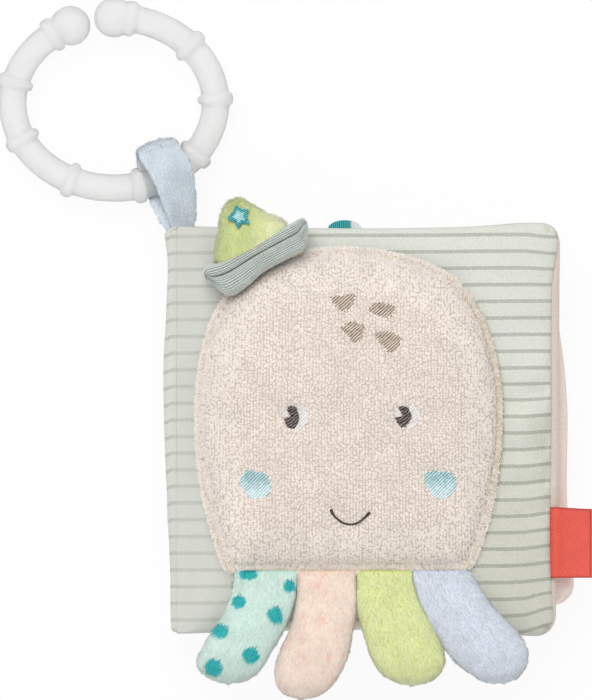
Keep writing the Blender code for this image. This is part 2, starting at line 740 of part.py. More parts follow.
def make_hat(hat):
    """A ribbed cuff round a stuffed cone, with a star applied near the tip."""
    outer = (HAT_CUFF_WIDTH / 2, HAT_CUFF_THICKNESS / 2)
    inner = (outer[0] - HAT_CUFF_SIDE, outer[1] - HAT_CUFF_CLOTH)
    bulge = HAT_CUFF_CLOTH / 3
    cuff = [
        hat_ring(outer[0] - bulge, outer[1] - bulge, 0),
        hat_ring(*outer, HAT_CUFF_LENGTH / 3),
        hat_ring(*outer, HAT_CUFF_LENGTH * 2 / 3),
        hat_ring(outer[0] - bulge, outer[1] - bulge, HAT_CUFF_LENGTH),
        hat_ring(*inner, HAT_CUFF_LENGTH),
        hat_ring(*inner, 0),
    ]
    add_hat_piece("hat_brim", band(cuff), hat, "grey_green")
    shell = [cone_ring(along, width, 0) for along, width in HAT_CONE_SHARES]
    lining = [cone_ring(along, width, HAT_CONE_CLOTH) for along, width in HAT_CONE_SHARES[:-2]]
    add_hat_piece("hat_cone", two_sided(shell, lining), hat, "lime")
    widths = dict(HAT_CONE_SHARES)
    fill = [
        cone_ring(along, widths.get(along, 1) * HAT_FILL_NARROWING, HAT_CONE_CLOTH)
        for along in HAT_FILL_SHARES
    ]
    add_hat_piece("hat_stuffing", two_sided(fill[:1], fill[1:-1]), hat, "wadding")
    add_hat_piece("hat_star", star(), hat, "teal")


def star():
    """A five-pointed star that lies on the cone's upper face, near the tip."""
    along = HAT_CONE_START + HAT_CONE_LENGTH * STAR_PLACE_SHARE
    lean = HAT_LEAN_SHARE * HAT_CONE_LENGTH * STAR_PLACE_SHARE
    base = HAT_CUFF_THICKNESS - HAT_CUFF_CLOTH
    rings = []
    for height in (0, STAR_THICKNESS):
        ring = []
        for i in range(2 * STAR_POINTS):
            angle = math.radians(90) + math.pi * i / STAR_POINTS
            radius = STAR_RADIUS * (STAR_INNER_SHARE if i % 2 else 1)
            ring.append(Vector((lean + radius * math.cos(angle), along + radius * math.sin(angle),
                                base + height)))
        rings.append(ring)
    return two_sided(rings[1:], rings[:1])


# Ring and loop


def ring_point(degrees):
    """A point of the ring's centre line."""
    angle = math.radians(degrees)
    return Vector((
        RING_CENTRE_X + RING_HALF_WIDTH * math.cos(angle),
        RING_CENTRE_Y + RING_HALF_HEIGHT * math.sin(angle),
        RING_Z,
    ))


def ring_way(degrees):
    """The direction of the ring's centre line, turning clockwise seen from above."""
    angle = math.radians(degrees)
    way = Vector((RING_HALF_WIDTH * math.sin(angle), -RING_HALF_HEIGHT * math.cos(angle), 0))
    return way.normalized()


def ring_section(place, way, radius):
    """A round section of the rod."""
    aside = Vector((0, 0, 1)).cross(way)
    points = oval(radius, radius, RING_SIDES)
    return [place + aside * p.x + Vector((0, 0, p.y)) for p in points]


def collar_angle(number):
    return RING_START - RING_FIRST_COLLAR - RING_COLLAR_STEP * number


def ball_sections(degrees, outwards):
    """Sections of an end ball, from the rod outwards to the pole."""
    place, way = ring_point(degrees), ring_way(degrees) * outwards
    neck = math.degrees(math.asin(RING_ROD / RING_BALL))
    sections = []
    for step in range(2 * RING_BALL_STEPS):
        angle = math.radians(180 - neck - (180 - neck) * step / (2 * RING_BALL_STEPS))
        centre = place + way * RING_BALL * math.cos(angle)
        sections.append(ring_section(centre, ring_way(degrees), RING_BALL * math.sin(angle)))
    return sections, place + way * RING_BALL


def rod_sections():
    """The rod from ball to ball, stepped up at each collar."""
    end = RING_START - RING_SWEEP
    mean = (RING_HALF_WIDTH + RING_HALF_HEIGHT) / 2
    half = math.degrees(RING_COLLAR_WIDTH / 2 / mean)
    shoulder = math.degrees(RING_COLLAR_SHOULDER / mean)
    neck = math.degrees(math.sqrt(RING_BALL**2 - RING_ROD**2) / mean)
    sections = []
    last = RING_START - neck
    for number in range(RING_COLLARS + 1):
        final = number == RING_COLLARS
        middle = end + neck if final else collar_angle(number)
        following = middle if final else middle + half
        steps = 1 if number in (0, RING_COLLARS) else RING_STRETCH_STEPS
        for step in range(1, steps):
            degrees = last + (following - last) * step / steps
            sections.append(ring_section(ring_point(degrees), ring_way(degrees), RING_ROD))
        if final:
            break
        for offset, radius in ((half, RING_ROD), (half - shoulder, RING_COLLAR),
                               (shoulder - half, RING_COLLAR), (-half, RING_ROD)):
            degrees = middle + offset
            sections.append(ring_section(ring_point(degrees), ring_way(degrees), radius))
        last = middle - half
    return sections


def make_ring(ring):
    """The C-ring in one piece."""
    first, first_pole = ball_sections(RING_START, -1)
    last, last_pole = ball_sections(RING_START - RING_SWEEP, 1)
    sections = first[::-1] + rod_sections() + last
    half = len(sections) // 2
    body = two_sided(sections[half:], sections[:half][::-1], last_pole, first_pole)
    add_piece("c_ring", body, ring, "plastic")


LOOP_ANGLE = collar_angle(LOOP_BETWEEN_COLLARS)
LOOP_HOLD = ring_point(LOOP_ANGLE)
LOOP_SEAM = Vector((STITCH_X + LOOP_RIGHT_OF_STITCH, PAGE_HEIGHT / 2 + GAP, LOOP_SEAM_Z))
LOOP_FOLD_WAY = Vector((0, 0, 1)).cross(-ring_way(LOOP_ANGLE))


def loop_outlines():
    """The strap's side view as (along, height) points: its outer line and the hole for the ring."""
    hole = RING_ROD + LOOP_CLEARANCE
    outer_radius = hole + LOOP_THICKNESS
    near = LOOP_HOLD - LOOP_FOLD_WAY * outer_radius
    tail = (near - LOOP_SEAM).length
    centre = tail + outer_radius
    steps = LOOP_FOLD_STEPS
    outer, inner = [], []
    for step in range(steps + 1):
        angle = math.radians(-90 + 180 * step / steps)
        way = Vector((math.cos(angle), math.sin(angle)))
        outer.append(Vector((centre + LOOP_SLACK, 0)) + way * outer_radius)
        inner.append(Vector((centre + LOOP_SLACK, 0)) + way * hole)
    stations = [(centre * share, LOOP_THICKNESS + (outer_radius - LOOP_THICKNESS) * share)
                for share in (*LOOP_TAIL_SHARES, 0)]
    outer += [Vector(station) for station in stations]
    outer += [Vector((along, -rise)) for along, rise in stations[::-1]]
    rest = len(outer) - len(inner)
    for step in range(rest):
        angle = math.radians(90 + 180 * step / (rest - 1))
        inner.append(Vector((centre, 0)) + Vector((math.cos(angle), math.sin(angle))) * hole)
    return outer, inner, near, tail


def make_loop(loop):
    """The strap: narrow at the seam, wide at the ring, and turned to lie along the ring there."""
    outer, inner, near, tail = loop_outlines()
    seam_across = Vector((1, 0, 0))
    ring_across = -ring_way(LOOP_ANGLE)

    def placed(point, side):
        share = min(max(point.x / tail, 0), 1)
        across = seam_across.lerp(ring_across, share).normalized()
        half = (LOOP_SEAM_WIDTH + (LOOP_RING_WIDTH - LOOP_SEAM_WIDTH) * share) / 2
        past = max(point.x - tail, 0)
        place = LOOP_SEAM.lerp(near, share) + LOOP_FOLD_WAY * past
        return place + Vector((0, 0, point.y)) + across * half * side

    rings = [
        [placed(p, -1) for p in outer],
        [placed(p, 1) for p in outer],
        [placed(p, 1) for p in inner],
        [placed(p, -1) for p in inner],
    ]
    add_piece("hanging_loop", band(rings), loop, "blue")


# Assembly


def make_pivots():
    """Empties on the joints, in the order in which they carry each other."""
    stitch = (STITCH_X, 0, STITCH_Z)
    found = {"back": pivot("back_cover_body", (0, 0, 0))}
    found["leaf"] = pivot("leaf_turn", stitch, found["back"])
    found["cover"] = pivot("cover_open", stitch, found["leaf"])
    label_place = (PAGE_RIGHT + GAP / 2, LABEL_CENTRE_Y, COVER_MIDDLE)
    found["label"] = pivot("label_flex", label_place, found["cover"])
    pitch = LEG_WIDTH * LEG_PITCH_SHARE
    for number, name in enumerate(LEG_NAMES):
        from_middle = number - (len(LEG_NAMES) - 1) / 2
        x = HEAD_CENTRE_X + LEG_ROW_OFFSET + from_middle * pitch
        found[name] = pivot(name + "_lift", (x, LEG_ROOT_Y + GAP / 2, LEG_HINGE_Z), found["cover"])
    hat_place = HAT_FRAME @ Vector((0, 0, HAT_CUFF_THICKNESS * 2 / 3))
    found["hat"] = pivot("hat_lift", hat_place, found["cover"])
    seam = LOOP_SEAM + Vector((0, -GAP / 2, LOOP_THICKNESS))
    found["loop"] = pivot("loop_bend", seam, found["back"])
    found["ring"] = pivot("ring_swing", LOOP_HOLD, found["loop"])
    return found


def main():
    clear_scene()
    joints = make_pivots()
    corner = (PAGE_RIGHT, -PAGE_HEIGHT / 2)
    leaf_corner = (PAGE_RIGHT + LEAF_OVERHANG, LEAF_BOTTOM)
    make_page("back", ("back_panel", "back_lining"), joints["back"], BACK_MIDDLE, -1, corner,
              ("stripes", "lining"))
    make_spine(joints["back"])
    make_page("leaf", ("leaf_front_panel", "leaf_back_panel"), joints["leaf"], LEAF_MIDDLE, 1,
              leaf_corner, ("lining", "lining"))
    make_leaf_tape(joints["leaf"])
    make_leaf_tab(joints["leaf"])
    make_page("cover", ("cover_panel", "cover_lining"), joints["cover"], COVER_MIDDLE, 1, corner,
              ("stripes", "lining"))
    make_label(joints["label"])
    outline = head_outline()
    make_head(joints["cover"], outline)
    make_face(joints["cover"], outline)
    for name, colour in zip(LEG_NAMES, ("mint", "peach", "lime", "blue")):
        make_leg(name, joints[name], colour)
    make_hat(joints["hat"])
    make_loop(joints["loop"])
    make_ring(joints["ring"])
    bpy.context.view_layer.update()


main()
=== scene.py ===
"""Crinkle cloth book: soft pieces, materials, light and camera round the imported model.

+Z is up, out of the front cover, +Y is the top of the book and +X its open side. Shapes are worked
out in millimetres and become metres where a mesh is built.
"""
import math

import bmesh
import bpy
import numpy as np
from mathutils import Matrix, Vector


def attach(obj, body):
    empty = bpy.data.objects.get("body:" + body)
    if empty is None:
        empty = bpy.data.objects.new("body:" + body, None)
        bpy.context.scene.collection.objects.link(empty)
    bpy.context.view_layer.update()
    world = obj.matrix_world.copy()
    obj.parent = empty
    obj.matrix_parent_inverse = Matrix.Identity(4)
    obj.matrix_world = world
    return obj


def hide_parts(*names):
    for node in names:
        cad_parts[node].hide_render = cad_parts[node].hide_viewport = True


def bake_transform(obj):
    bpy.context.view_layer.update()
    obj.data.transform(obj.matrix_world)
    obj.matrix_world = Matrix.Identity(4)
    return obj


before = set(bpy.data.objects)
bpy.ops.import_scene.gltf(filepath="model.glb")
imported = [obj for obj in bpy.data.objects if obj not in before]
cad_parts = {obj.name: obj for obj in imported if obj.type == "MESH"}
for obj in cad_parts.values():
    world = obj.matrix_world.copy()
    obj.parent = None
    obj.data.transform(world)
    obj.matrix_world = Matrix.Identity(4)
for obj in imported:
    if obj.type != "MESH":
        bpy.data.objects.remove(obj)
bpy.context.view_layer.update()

MM = 0.001
UP = np.array((0.0, 0.0, 1.0))

# The photograph: millimetres in a pixel at the cover, the pixel over the book's origin, and its height
PIXEL = 0.27
ORIGIN_X, ORIGIN_Y = 366.5, 430.0
PHOTO_HEIGHT = 700

# Pages: middle heights, thickness, and the padded section
BACK_Z, LEAF_Z, COVER_Z = 5.0, 15.3, 25.6
PAGE_LEFT = -50.1
PAGE_TOP = 55.35
PAGE_THICK = 10.0
PAGE_RIM = 2.4
PAGE_ROUND = 12.0
PAGE_CORNER = 4.6
CLOTH = 0.8
STITCH_X = -51.15
SPINE_LEFT = -54.35
SPINE_TOP = 27.4
HEAD_BASE = 30.9

# Head: dome and border
HEAD_CENTRE = np.array((-4.6, 5.5))
HEAD_HALF = np.array((41.45, 43.6))
HEAD_RISE = 11.8
HEAD_BORDER = 1.7
DOME_SHARE = 1 - 0.052
HEAD_FULLNESS = 2.6
HEAD_FILL_GAP = 0.6

# Ring
RING_CENTRE = np.array((-68.3, 88.6, 6.1))
RING_HALF = (27.5, 23.1)
RING_ROD = 3.7
RING_START = 90.0
RING_SWEEP = 334.5


# Curves and noise


def photo(x, y):
    """Book coordinates in millimetres of a pixel in the view from above."""
    return np.array(((x - ORIGIN_X) * PIXEL, (ORIGIN_Y - y) * PIXEL))


def traced(*pixels):
    """Book coordinates of the pixels along an outline."""
    return [photo(*pixel) for pixel in pixels]


def smoothstep(low, high, value):
    """0 up to low and 1 from high on, with a smooth change between."""
    t = np.clip((np.asarray(value, float) - low) / (high - low), 0, 1)
    return t * t * (3 - 2 * t)


def spline(knots, values, at):
    """Smooth curve through values at rising knots, flat past its ends."""
    knots = np.asarray(knots, float)
    values = np.asarray(values, float)
    at = np.clip(np.asarray(at, float), knots[0], knots[-1])
    slopes = np.gradient(values, knots, axis=0)
    i = np.clip(np.searchsorted(knots, at, side="right") - 1, 0, len(knots) - 2)
    step = knots[i + 1] - knots[i]
    t = (at - knots[i]) / step
    if values.ndim > 1:
        t, step = t[..., None], step[..., None]
    a, b = values[i], values[i + 1]
    da, db = slopes[i] * step, slopes[i + 1] * step
    return (a * (1 + 2 * t) * (1 - t) ** 2 + da * t * (1 - t) ** 2
            + b * t * t * (3 - 2 * t) + db * t * t * (t - 1))


def read_off(table, at):
    """Values on the smooth curve through a table of (place, value) pairs."""
    knots, values = np.transpose(np.array(table, float))
    return spline(knots, values, at)


def signed_power(values, power):
    """Values raised to a power, with their signs kept."""
    return np.sign(values) * np.abs(values) ** power


def full_turn(count):
    """Angles at even steps round a circle."""
    return np.linspace(0, 2 * math.pi, count, endpoint=False)


def lengths_along(points):
    """How far along a line each of its points lies."""
    steps = np.linalg.norm(np.diff(points, axis=0), axis=1)
    return np.concatenate(((0.0,), np.cumsum(steps)))


def points_at(at, along, points):
    """Points at some distances along a line, whose own points lie at the distances in along."""
    return np.stack([np.interp(at, along, column) for column in np.transpose(points)], axis=-1)


def evenly(points, count):
    """count points at even steps along an open line."""
    along = lengths_along(points)
    return points_at(np.linspace(0, along[-1], count), along, points)


def closed_curve(points, count):
    """Evenly spaced points on the smooth closed curve through the given ones."""
    knots = np.asarray(points, float)
    t = np.arange(16)[:, None] / 16
    pieces = []
    for i in range(len(knots)):
        a, b, c, d = (knots[(i + k) % len(knots)] for k in (-1, 0, 1, 2))
        pieces.append((2 * b + (c - a) * t + (2 * a - 5 * b + 4 * c - d) * t**2
                       + (3 * b - a - 3 * c + d) * t**3) / 2)
    fine = np.concatenate(pieces)
    return evenly(np.vstack((fine, fine[:1])), count + 1)[:-1]


def points_of(x, y, z=0.0):
    """Points from their coordinates, any of which may be one number for all."""
    return np.stack(np.broadcast_arrays(x, y, z), axis=-1)


def raised(flat, z):
    """Points over places in the plane, at one height or each at its own."""
    heights = np.broadcast_to(np.asarray(z, float)[..., None], (*flat.shape[:-1], 1))
    return np.concatenate((flat, heights), axis=-1)


NOISE_CELLS = 64
NOISE_TABLE = np.random.default_rng(11).random((NOISE_CELLS,) * 3)
NOISE_START = 100.0
NOISE_SEED_STEP = 7.3


def noise(points, size, seed=0.0):
    """Smooth noise from -1 to 1 with features of that size."""
    place = np.asarray(points, float) / size + NOISE_SEED_STEP * seed + NOISE_START
    cell = np.floor(place).astype(int)
    share = place - cell
    share = share * share * (3 - 2 * share)
    total = 0.0
    for corner in np.ndindex(2, 2, 2):
        near = (cell + corner) % NOISE_CELLS
        weights = np.where(corner, share, 1 - share)
        weight = weights[..., 0] * weights[..., 1] * weights[..., 2]
        total = total + weight * NOISE_TABLE[near[..., 0], near[..., 1], near[..., 2]]
    return 2 * total - 1


def flat_noise(along, size, seed=0.0):
    """Noise along a line."""
    return noise(points_of(along, 0.0), size, seed)


def unit(v):
    """Vectors at length 1."""
    return v / np.maximum(np.linalg.norm(v, axis=-1, keepdims=True), 1e-9)


def facing_out(directions, points, middle):
    """Directions, turned round where they point towards the middle."""
    return directions * np.sign(np.sum(directions * (points - middle), axis=-1, keepdims=True))


# Meshes


def grid_normals(grid, wrap=False):
    """Normals of a grid of points, rows by columns."""
    down = np.gradient(grid, axis=0)
    if wrap:
        across = (np.roll(grid, -1, axis=1) - np.roll(grid, 1, axis=1)) / 2
    else:
        across = np.gradient(grid, axis=1)
    return unit(np.cross(across, down))


def quads(numbers, wrap=False):
    """Faces between the rows of a grid of vertex numbers. With wrap they go all round."""
    if wrap:
        numbers = np.column_stack((numbers, numbers[:, 0]))
    corners = numbers[:-1, :-1], numbers[1:, :-1], numbers[1:, 1:], numbers[:-1, 1:]
    return np.stack(corners, axis=-1).reshape(-1, 4)


def linked(name, data):
    """An object in the scene that shows the data."""
    made = bpy.data.objects.new(name, data)
    bpy.context.scene.collection.objects.link(made)
    return made


def build(name, body, look, verts, faces, values=None, recalc=True):
    """A mesh object from points in millimetres, which rides on a body."""
    mesh = bpy.data.meshes.new(name)
    verts = np.asarray(verts, float) * MM
    mesh.vertices.add(len(verts))
    mesh.vertices.foreach_set("co", verts.ravel())
    corners = np.concatenate([f.ravel() for f in faces])
    sizes = np.concatenate([np.full(len(f), f.shape[1]) for f in faces])
    mesh.loops.add(len(corners))
    mesh.loops.foreach_set("vertex_index", corners)
    mesh.polygons.add(len(sizes))
    mesh.polygons.foreach_set("loop_start", np.concatenate(((0,), np.cumsum(sizes)[:-1])))
    mesh.update(calc_edges=True)
    for key, value in (values or {}).items():
        layer = mesh.attributes.new(key, "FLOAT", "POINT")
        layer.data.foreach_set("value", np.asarray(value, float).ravel())
    if recalc:
        made = bmesh.new()
        made.from_mesh(mesh)
        bmesh.ops.recalc_face_normals(made, faces=made.faces)
        made.to_mesh(mesh)
        made.free()
    mesh.shade_smooth()
    mesh.materials.append(look)
    piece = linked(name, mesh)
    if body:
        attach(piece, body)
    return piece


def stand_for(piece, node=None):
    """Hides the CAD node that a piece stands for, if one is given."""
    if node:
        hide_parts(node)


def pillow(name, body, look, upper, lower, values=None):
    """A closed body between two grids of the same size."""
    points = np.stack((upper, lower))
    numbers = np.arange(points[..., 0].size).reshape(points.shape[:3])
    faces = [quads(numbers[0]), quads(numbers[1])[:, ::-1]]
    faces += [quads(rim) for rim in (numbers[:, 0], numbers[:, -1], numbers[:, :, 0], numbers[:, :, -1])]
    doubled = {key: np.tile(value.ravel(), 2) for key, value in (values or {}).items()}
    return build(name, body, look, points.reshape(-1, 3), faces, doubled)


def sheet_shell(name, body, look, grid, thickness, values=None):
    """A closed cloth shell whose outer side is the grid, with crisp rims."""
    piece = pillow(name, body, look, grid, grid - grid_normals(grid) * thickness, values)
    rims = 2 * (sum(grid.shape[:2]) - 2)
    smooth = np.ones(len(piece.data.polygons), bool)
    smooth[-rims:] = False
    piece.data.polygons.foreach_set("use_smooth", smooth)
    return piece


def tube(name, body, look, rings, thickness=None, values=None):
    """Rings along a closed form. With a thickness it is a sock, open at its first ring."""
    rows, columns = rings.shape[:2]
    outer = np.arange(rows * columns).reshape(rows, columns)
    faces = [quads(outer, wrap=True), outer[-1:]]
    if thickness is None:
        return build(name, body, look, rings.reshape(-1, 3), faces + [outer[:1, ::-1]], values)
    normals = grid_normals(rings, wrap=True)
    sign = np.sign(np.sum((rings - rings.mean(axis=1, keepdims=True)) * normals))
    keep = rows - 3
    inner = rings[:keep] - normals[:keep] * sign * thickness
    low = outer[:keep] + rows * columns
    faces += [quads(low, wrap=True)[:, ::-1], low[-1:, ::-1], quads(np.stack((outer[0], low[0])), wrap=True)]
    doubled = {key: np.append(value, value[:keep * columns]) for key, value in (values or {}).items()}
    return build(name, body, look, np.concatenate((rings, inner)).reshape(-1, 3), faces, doubled)


def resized(rings, share):
    """Rings made larger or smaller about their middles."""
    middle = rings.mean(axis=1, keepdims=True)
    return middle + (rings - middle) * share


def soften(piece, normals, relief):
    """Lights fluff much as the surface it grows from. Its fibres cast no sharp shadows on each other."""
    own = np.empty(len(piece.data.vertices) * 3)
    piece.data.vertices.foreach_get("normal", own)
    eased = unit(own.reshape(-1, 3) * relief + normals)
    piece.data.normals_split_custom_set_from_vertices(eased)
    piece.visible_shadow = False


def tufts(name, body, look, roots, directions, normals, lengths, width, rng, values=None):
    """Fibres as thin three-sided points."""
    count = len(roots)
    side = unit(np.cross(directions, normals) + 1e-6)
    other = unit(np.cross(side, directions))
    spin = rng.random(count) * 2 * math.pi
    tips = roots + directions * lengths[:, None]
    rings = []
    for k in range(3):
        angle = spin + k * 2 * math.pi / 3
        around = side * np.cos(angle)[:, None] + other * np.sin(angle)[:, None]
        rings.append(roots + around * (width / 2) * rng.uniform(0.8, 1.2, count)[:, None])
    verts = np.stack((*rings, tips), axis=1).reshape(-1, 3)
    base = np.arange(count)[:, None] * 4
    tris = np.concatenate([base + np.array(t) for t in ((1, 0, 3), (2, 1, 3), (0, 2, 3), (0, 1, 2))])
    # The roots are given 0 and the tips 1: the looks paint the roots darker, painted shade among the fibres.
    layers = {"tip": np.tile((0.0, 0.0, 0.0, 1.0), count), "tone": np.repeat(rng.random(count), 4)}
    layers.update({key: np.repeat(value, 4) for key, value in (values or {}).items()})
    piece = build(name, body, look, verts, [tris], layers, recalc=False)
    soften(piece, np.repeat(normals, 4, axis=0), 0.65)
    return piece


# Materials


def srgb(*levels):
    """A node's colour from display levels of 0 to 255."""
    shares = [level / 255 for level in levels]
    return tuple(s / 12.92 if s <= 0.04045 else ((s + 0.055) / 1.055) ** 2.4 for s in shares)


class Look:
    """A Principled material and short calls for the nodes that feed it."""

    def __init__(self, name, roughness, sheen=0.0, sheen_roughness=0.5, specular=0.3):
        self.material = bpy.data.materials.new(name)
        self.material.use_nodes = True
        self.tree = self.material.node_tree
        self.shader = self.tree.nodes["Principled BSDF"]
        self.set({"Roughness": roughness, "Specular IOR Level": specular, "Sheen Weight": sheen,
                  "Sheen Roughness": sheen_roughness})
        self.place = self.node("ShaderNodeTexCoord").outputs["Object"]

    def set(self, values):
        """Sets the shader's own inputs."""
        for key, value in values.items():
            self.feed(self.shader.inputs[key], value)

    def node(self, kind, inputs=None, **settings):
        """A new node. inputs holds values and sockets, by the input's name or number."""
        node = self.tree.nodes.new(kind)
        for key, value in settings.items():
            setattr(node, key, value)
        for key, value in (inputs or {}).items():
            self.feed(node.inputs[key], value)
        return node

    def feed(self, socket, value):
        """Links an output to the socket, or sets the socket's value."""
        if isinstance(value, bpy.types.NodeSocket):
            self.tree.links.new(value, socket)
        elif socket.type == "RGBA" and len(value) == 3:
            socket.default_value = (*value, 1)
        else:
            socket.default_value = value

    def math(self, operation, *values):
        """A number worked out from others."""
        return self.node("ShaderNodeMath", dict(enumerate(values)), operation=operation).outputs[0]

    def mix(self, factor, first, second, blend="MIX"):
        """A colour between two, the first where the factor is 0."""
        colours = {0: factor, 6: first, 7: second}
        return self.node("ShaderNodeMix", colours, data_type="RGBA", blend_type=blend).outputs[2]

    def attribute(self, name):
        """A value that the mesh holds at its points."""
        return self.node("ShaderNodeAttribute", attribute_name=name).outputs["Fac"]

    def stretched(self, scale, turn):
        """The place on the piece, scaled and turned by so many degrees."""
        inputs = {"Vector": self.place, "Rotation": (0, 0, math.radians(turn)), "Scale": scale}
        return self.node("ShaderNodeMapping", inputs).outputs[0]

    def noise(self, size_mm, detail=2.0, source=None):
        """Smooth noise with features of that size."""
        inputs = {"Vector": source or self.place, "Scale": 1 / (size_mm * MM), "Detail": detail}
        return self.node("ShaderNodeTexNoise", inputs).outputs["Fac"]

    def wave(self, size_mm, turn=0.0, distortion=0.0, detail_scale=1.0):
        """Bands that far apart, across X turned by so many degrees."""
        inputs = {"Vector": self.stretched((1, 1, 1), turn), "Scale": 2 * math.pi / 20 / (size_mm * MM),
                  "Distortion": distortion, "Detail Scale": detail_scale}
        return self.node("ShaderNodeTexWave", inputs, bands_direction="X").outputs["Fac"]

    def spread(self, value, low, high, to_low=0.0, to_high=1.0):
        """A value eased from the range low to high to another range."""
        inputs = dict(enumerate((value, low, high, to_low, to_high)))
        return self.node("ShaderNodeMapRange", inputs, interpolation_type="SMOOTHSTEP").outputs[0]

    def ridges(self, value):
        """1 between whole numbers of the value and 0 at them."""
        return self.math("ABSOLUTE", self.math("SINE", self.math("MULTIPLY", value, math.pi)))

    def shaded(self, colour, shade):
        """A colour times a grey."""
        grey = self.node("ShaderNodeCombineColor", {0: shade, 1: shade, 2: shade})
        return self.mix(1.0, colour, grey.outputs[0], "MULTIPLY")

    def varied(self, colour, *amounts):
        """A colour made lighter and darker by noise: (size in mm, share) pairs."""
        for size, share in amounts:
            colour = self.shaded(colour, self.spread(self.noise(size), 0.3, 0.7, 1 - share, 1 + share))
        return colour

    def mottled(self, colour, share):
        """A colour that is a little different on each tuft or loop."""
        return self.shaded(colour, self.spread(self.attribute("tone"), 0.0, 1.0, 1 - share, 1 + share))

    def finished(self, colour, height, depth_mm, strength):
        """The material, with its colour and the relief that height draws on it."""
        bump = {"Height": height, "Distance": depth_mm * MM, "Strength": strength}
        self.set({"Base Color": colour, "Normal": self.node("ShaderNodeBump", bump).outputs[0]})
        return self.material


def striped_look(name):
    """Satin cotton with thin woven stripes, where the value stripes passes a whole number."""
    look = Look(name, 0.62, sheen=0.12, specular=0.35)
    cell = look.math("FRACT", look.math("ADD", look.attribute("stripes"), 0.5))
    away = look.math("ABSOLUTE", look.math("SUBTRACT", cell, 0.5))
    fray = look.math("MULTIPLY", look.math("SUBTRACT", look.noise(0.5), 0.5), 0.05)
    stripe = look.spread(look.math("ADD", away, fray), 0.085, 0.135, 1.0, 0.0)
    base = look.varied(srgb(219, 221, 211), (9, 0.02), (0.55, 0.05))
    line = look.varied(srgb(183, 187, 175), (0.5, 0.08))
    cloth = look.mix(stripe, base, line)
    # Painted shade: mixed darker towards the spine by the value shade, and made darker at the lower right
    # and down the open side by the next value.
    cloth = look.mix(look.math("MULTIPLY", look.attribute("shade"), 0.55), cloth, srgb(203, 204, 198))
    cloth = look.mix(look.attribute("dim"), cloth, srgb(238, 236, 232), "MULTIPLY")
    grain = look.math("MULTIPLY", look.noise(0.3), 0.7)
    twill = look.math("ADD", look.wave(0.42, 38, 0.6), grain)
    return look.finished(cloth, twill, 0.05, 0.6)


def cotton_look(name, colour):
    """Plain woven cotton, with a darker line where the value seam is 1: stitching and painted crease shade.
    """
    look = Look(name, 0.85, sheen=0.15, specular=0.2)
    cloth = look.mix(look.attribute("seam"), colour, srgb(176, 152, 134))
    crossed = look.math("MULTIPLY", look.wave(0.4, 0), look.wave(0.4, 90))
    weave = look.math("ADD", crossed, look.noise(0.5))
    return look.finished(look.varied(cloth, (9, 0.012), (0.6, 0.05)), weave, 0.06, 0.6)


def terry_look(name, root, tip):
    """Looped or cut pile: darker at the root, painted shade among the loops and fibres, each loop a little
    different.
    """
    look = Look(name, 0.9, sheen=0.25, sheen_roughness=0.6, specular=0.1)
    colour = look.mottled(look.mix(look.spread(look.attribute("tip"), 0.0, 1.0), root, tip), 0.05)
    return look.finished(look.varied(colour, (6, 0.035)), look.noise(0.35), 0.12, 0.5)


def plush_look(name, root, tip, mottle=0.09, print_and_painted_light_pair=None, blotches=None):
    """Short cut pile, painted darker at the root as shade among the fibres, with a second pair of colours
    where a value on the mesh says, or soft blotches.
    """
    look = Look(name, 0.88, sheen=0.35, sheen_roughness=0.45, specular=0.12)
    shade = look.attribute("tip")
    colour = look.mix(shade, root, tip)
    if print_and_painted_light_pair:
        # The second pair: the mint leg's print, painted shade on the loop, painted light on the hat's right.
        colour = look.mix(look.attribute("print_and_painted_light"), colour, look.mix(shade, *print_and_painted_light_pair))
    if blotches:
        cloud = look.noise(2.6, 2.0, look.stretched((1, 0.7, 1), 25))
        colour = look.mix(look.spread(cloud, 0.52, 0.74, 0.0, 0.6), colour, blotches)
    colour = look.varied(look.mottled(colour, mottle), (5, 0.04))
    return look.finished(colour, look.noise(0.4), 0.1, 0.5)


def thread_look(name, light, dark, turn, pitch=0.55, low=None, gap=0.0, wander=2.2):
    """Satin stitch: parallel threads painted light, broken dark gaps painted as shade. low is the pair of
    colours lower down.
    """
    look = Look(name, 0.5, sheen=0.2, specular=0.4)
    lines = look.wave(pitch, turn, wander, detail_scale=1.5)
    if low:
        down = look.attribute("low")
        light, dark = look.mix(down, light, low[0]), look.mix(down, dark, low[1])
    broken = look.math("MULTIPLY", look.math("SUBTRACT", look.noise(0.8, 1.0), 0.5), 0.9)
    colour = look.mix(look.spread(look.math("ADD", lines, broken), 0.08 + gap, 0.55 + gap), dark, light)
    return look.finished(look.varied(colour, (1.6, 0.10)), lines, 0.16, 0.9)


def tab_look(name):
    """Teal satin stitch that turns pale where the value pale is 1."""
    look = Look(name, 0.5, sheen=0.2, specular=0.4)
    lines = look.wave(0.55, 0, 0.8)
    # Light and dark bands, in teal and in the pale part alike: painted light on the threads and painted
    # shade between them.
    teal = look.mix(look.spread(lines, 0.1, 0.6), srgb(10, 90, 96), srgb(60, 180, 186))
    pale = look.mix(look.spread(lines, 0.1, 0.6), srgb(196, 208, 206), srgb(232, 238, 236))
    return look.finished(look.mix(look.attribute("pale"), teal, pale), lines, 0.12, 0.8)


def knit_look(name):
    """Fine rib: dark gaps between ribs that run along the cuff and between stitches, painted shade in the
    grooves.
    """
    look = Look(name, 0.85, sheen=0.2, specular=0.15)
    ridge = look.ridges(look.attribute("rib"))
    loops = look.ridges(look.attribute("row"))
    colour = look.mix(look.spread(ridge, 0.05, 0.75), srgb(130, 141, 135), srgb(210, 217, 211))
    colour = look.mix(look.spread(loops, 0.0, 0.5, 0.3, 0.0), colour, srgb(120, 130, 124))
    relief = look.math("ADD", ridge, look.math("MULTIPLY", loops, 0.3))
    return look.finished(look.varied(colour, (3, 0.05), (0.4, 0.08)), relief, 0.16, 0.8)


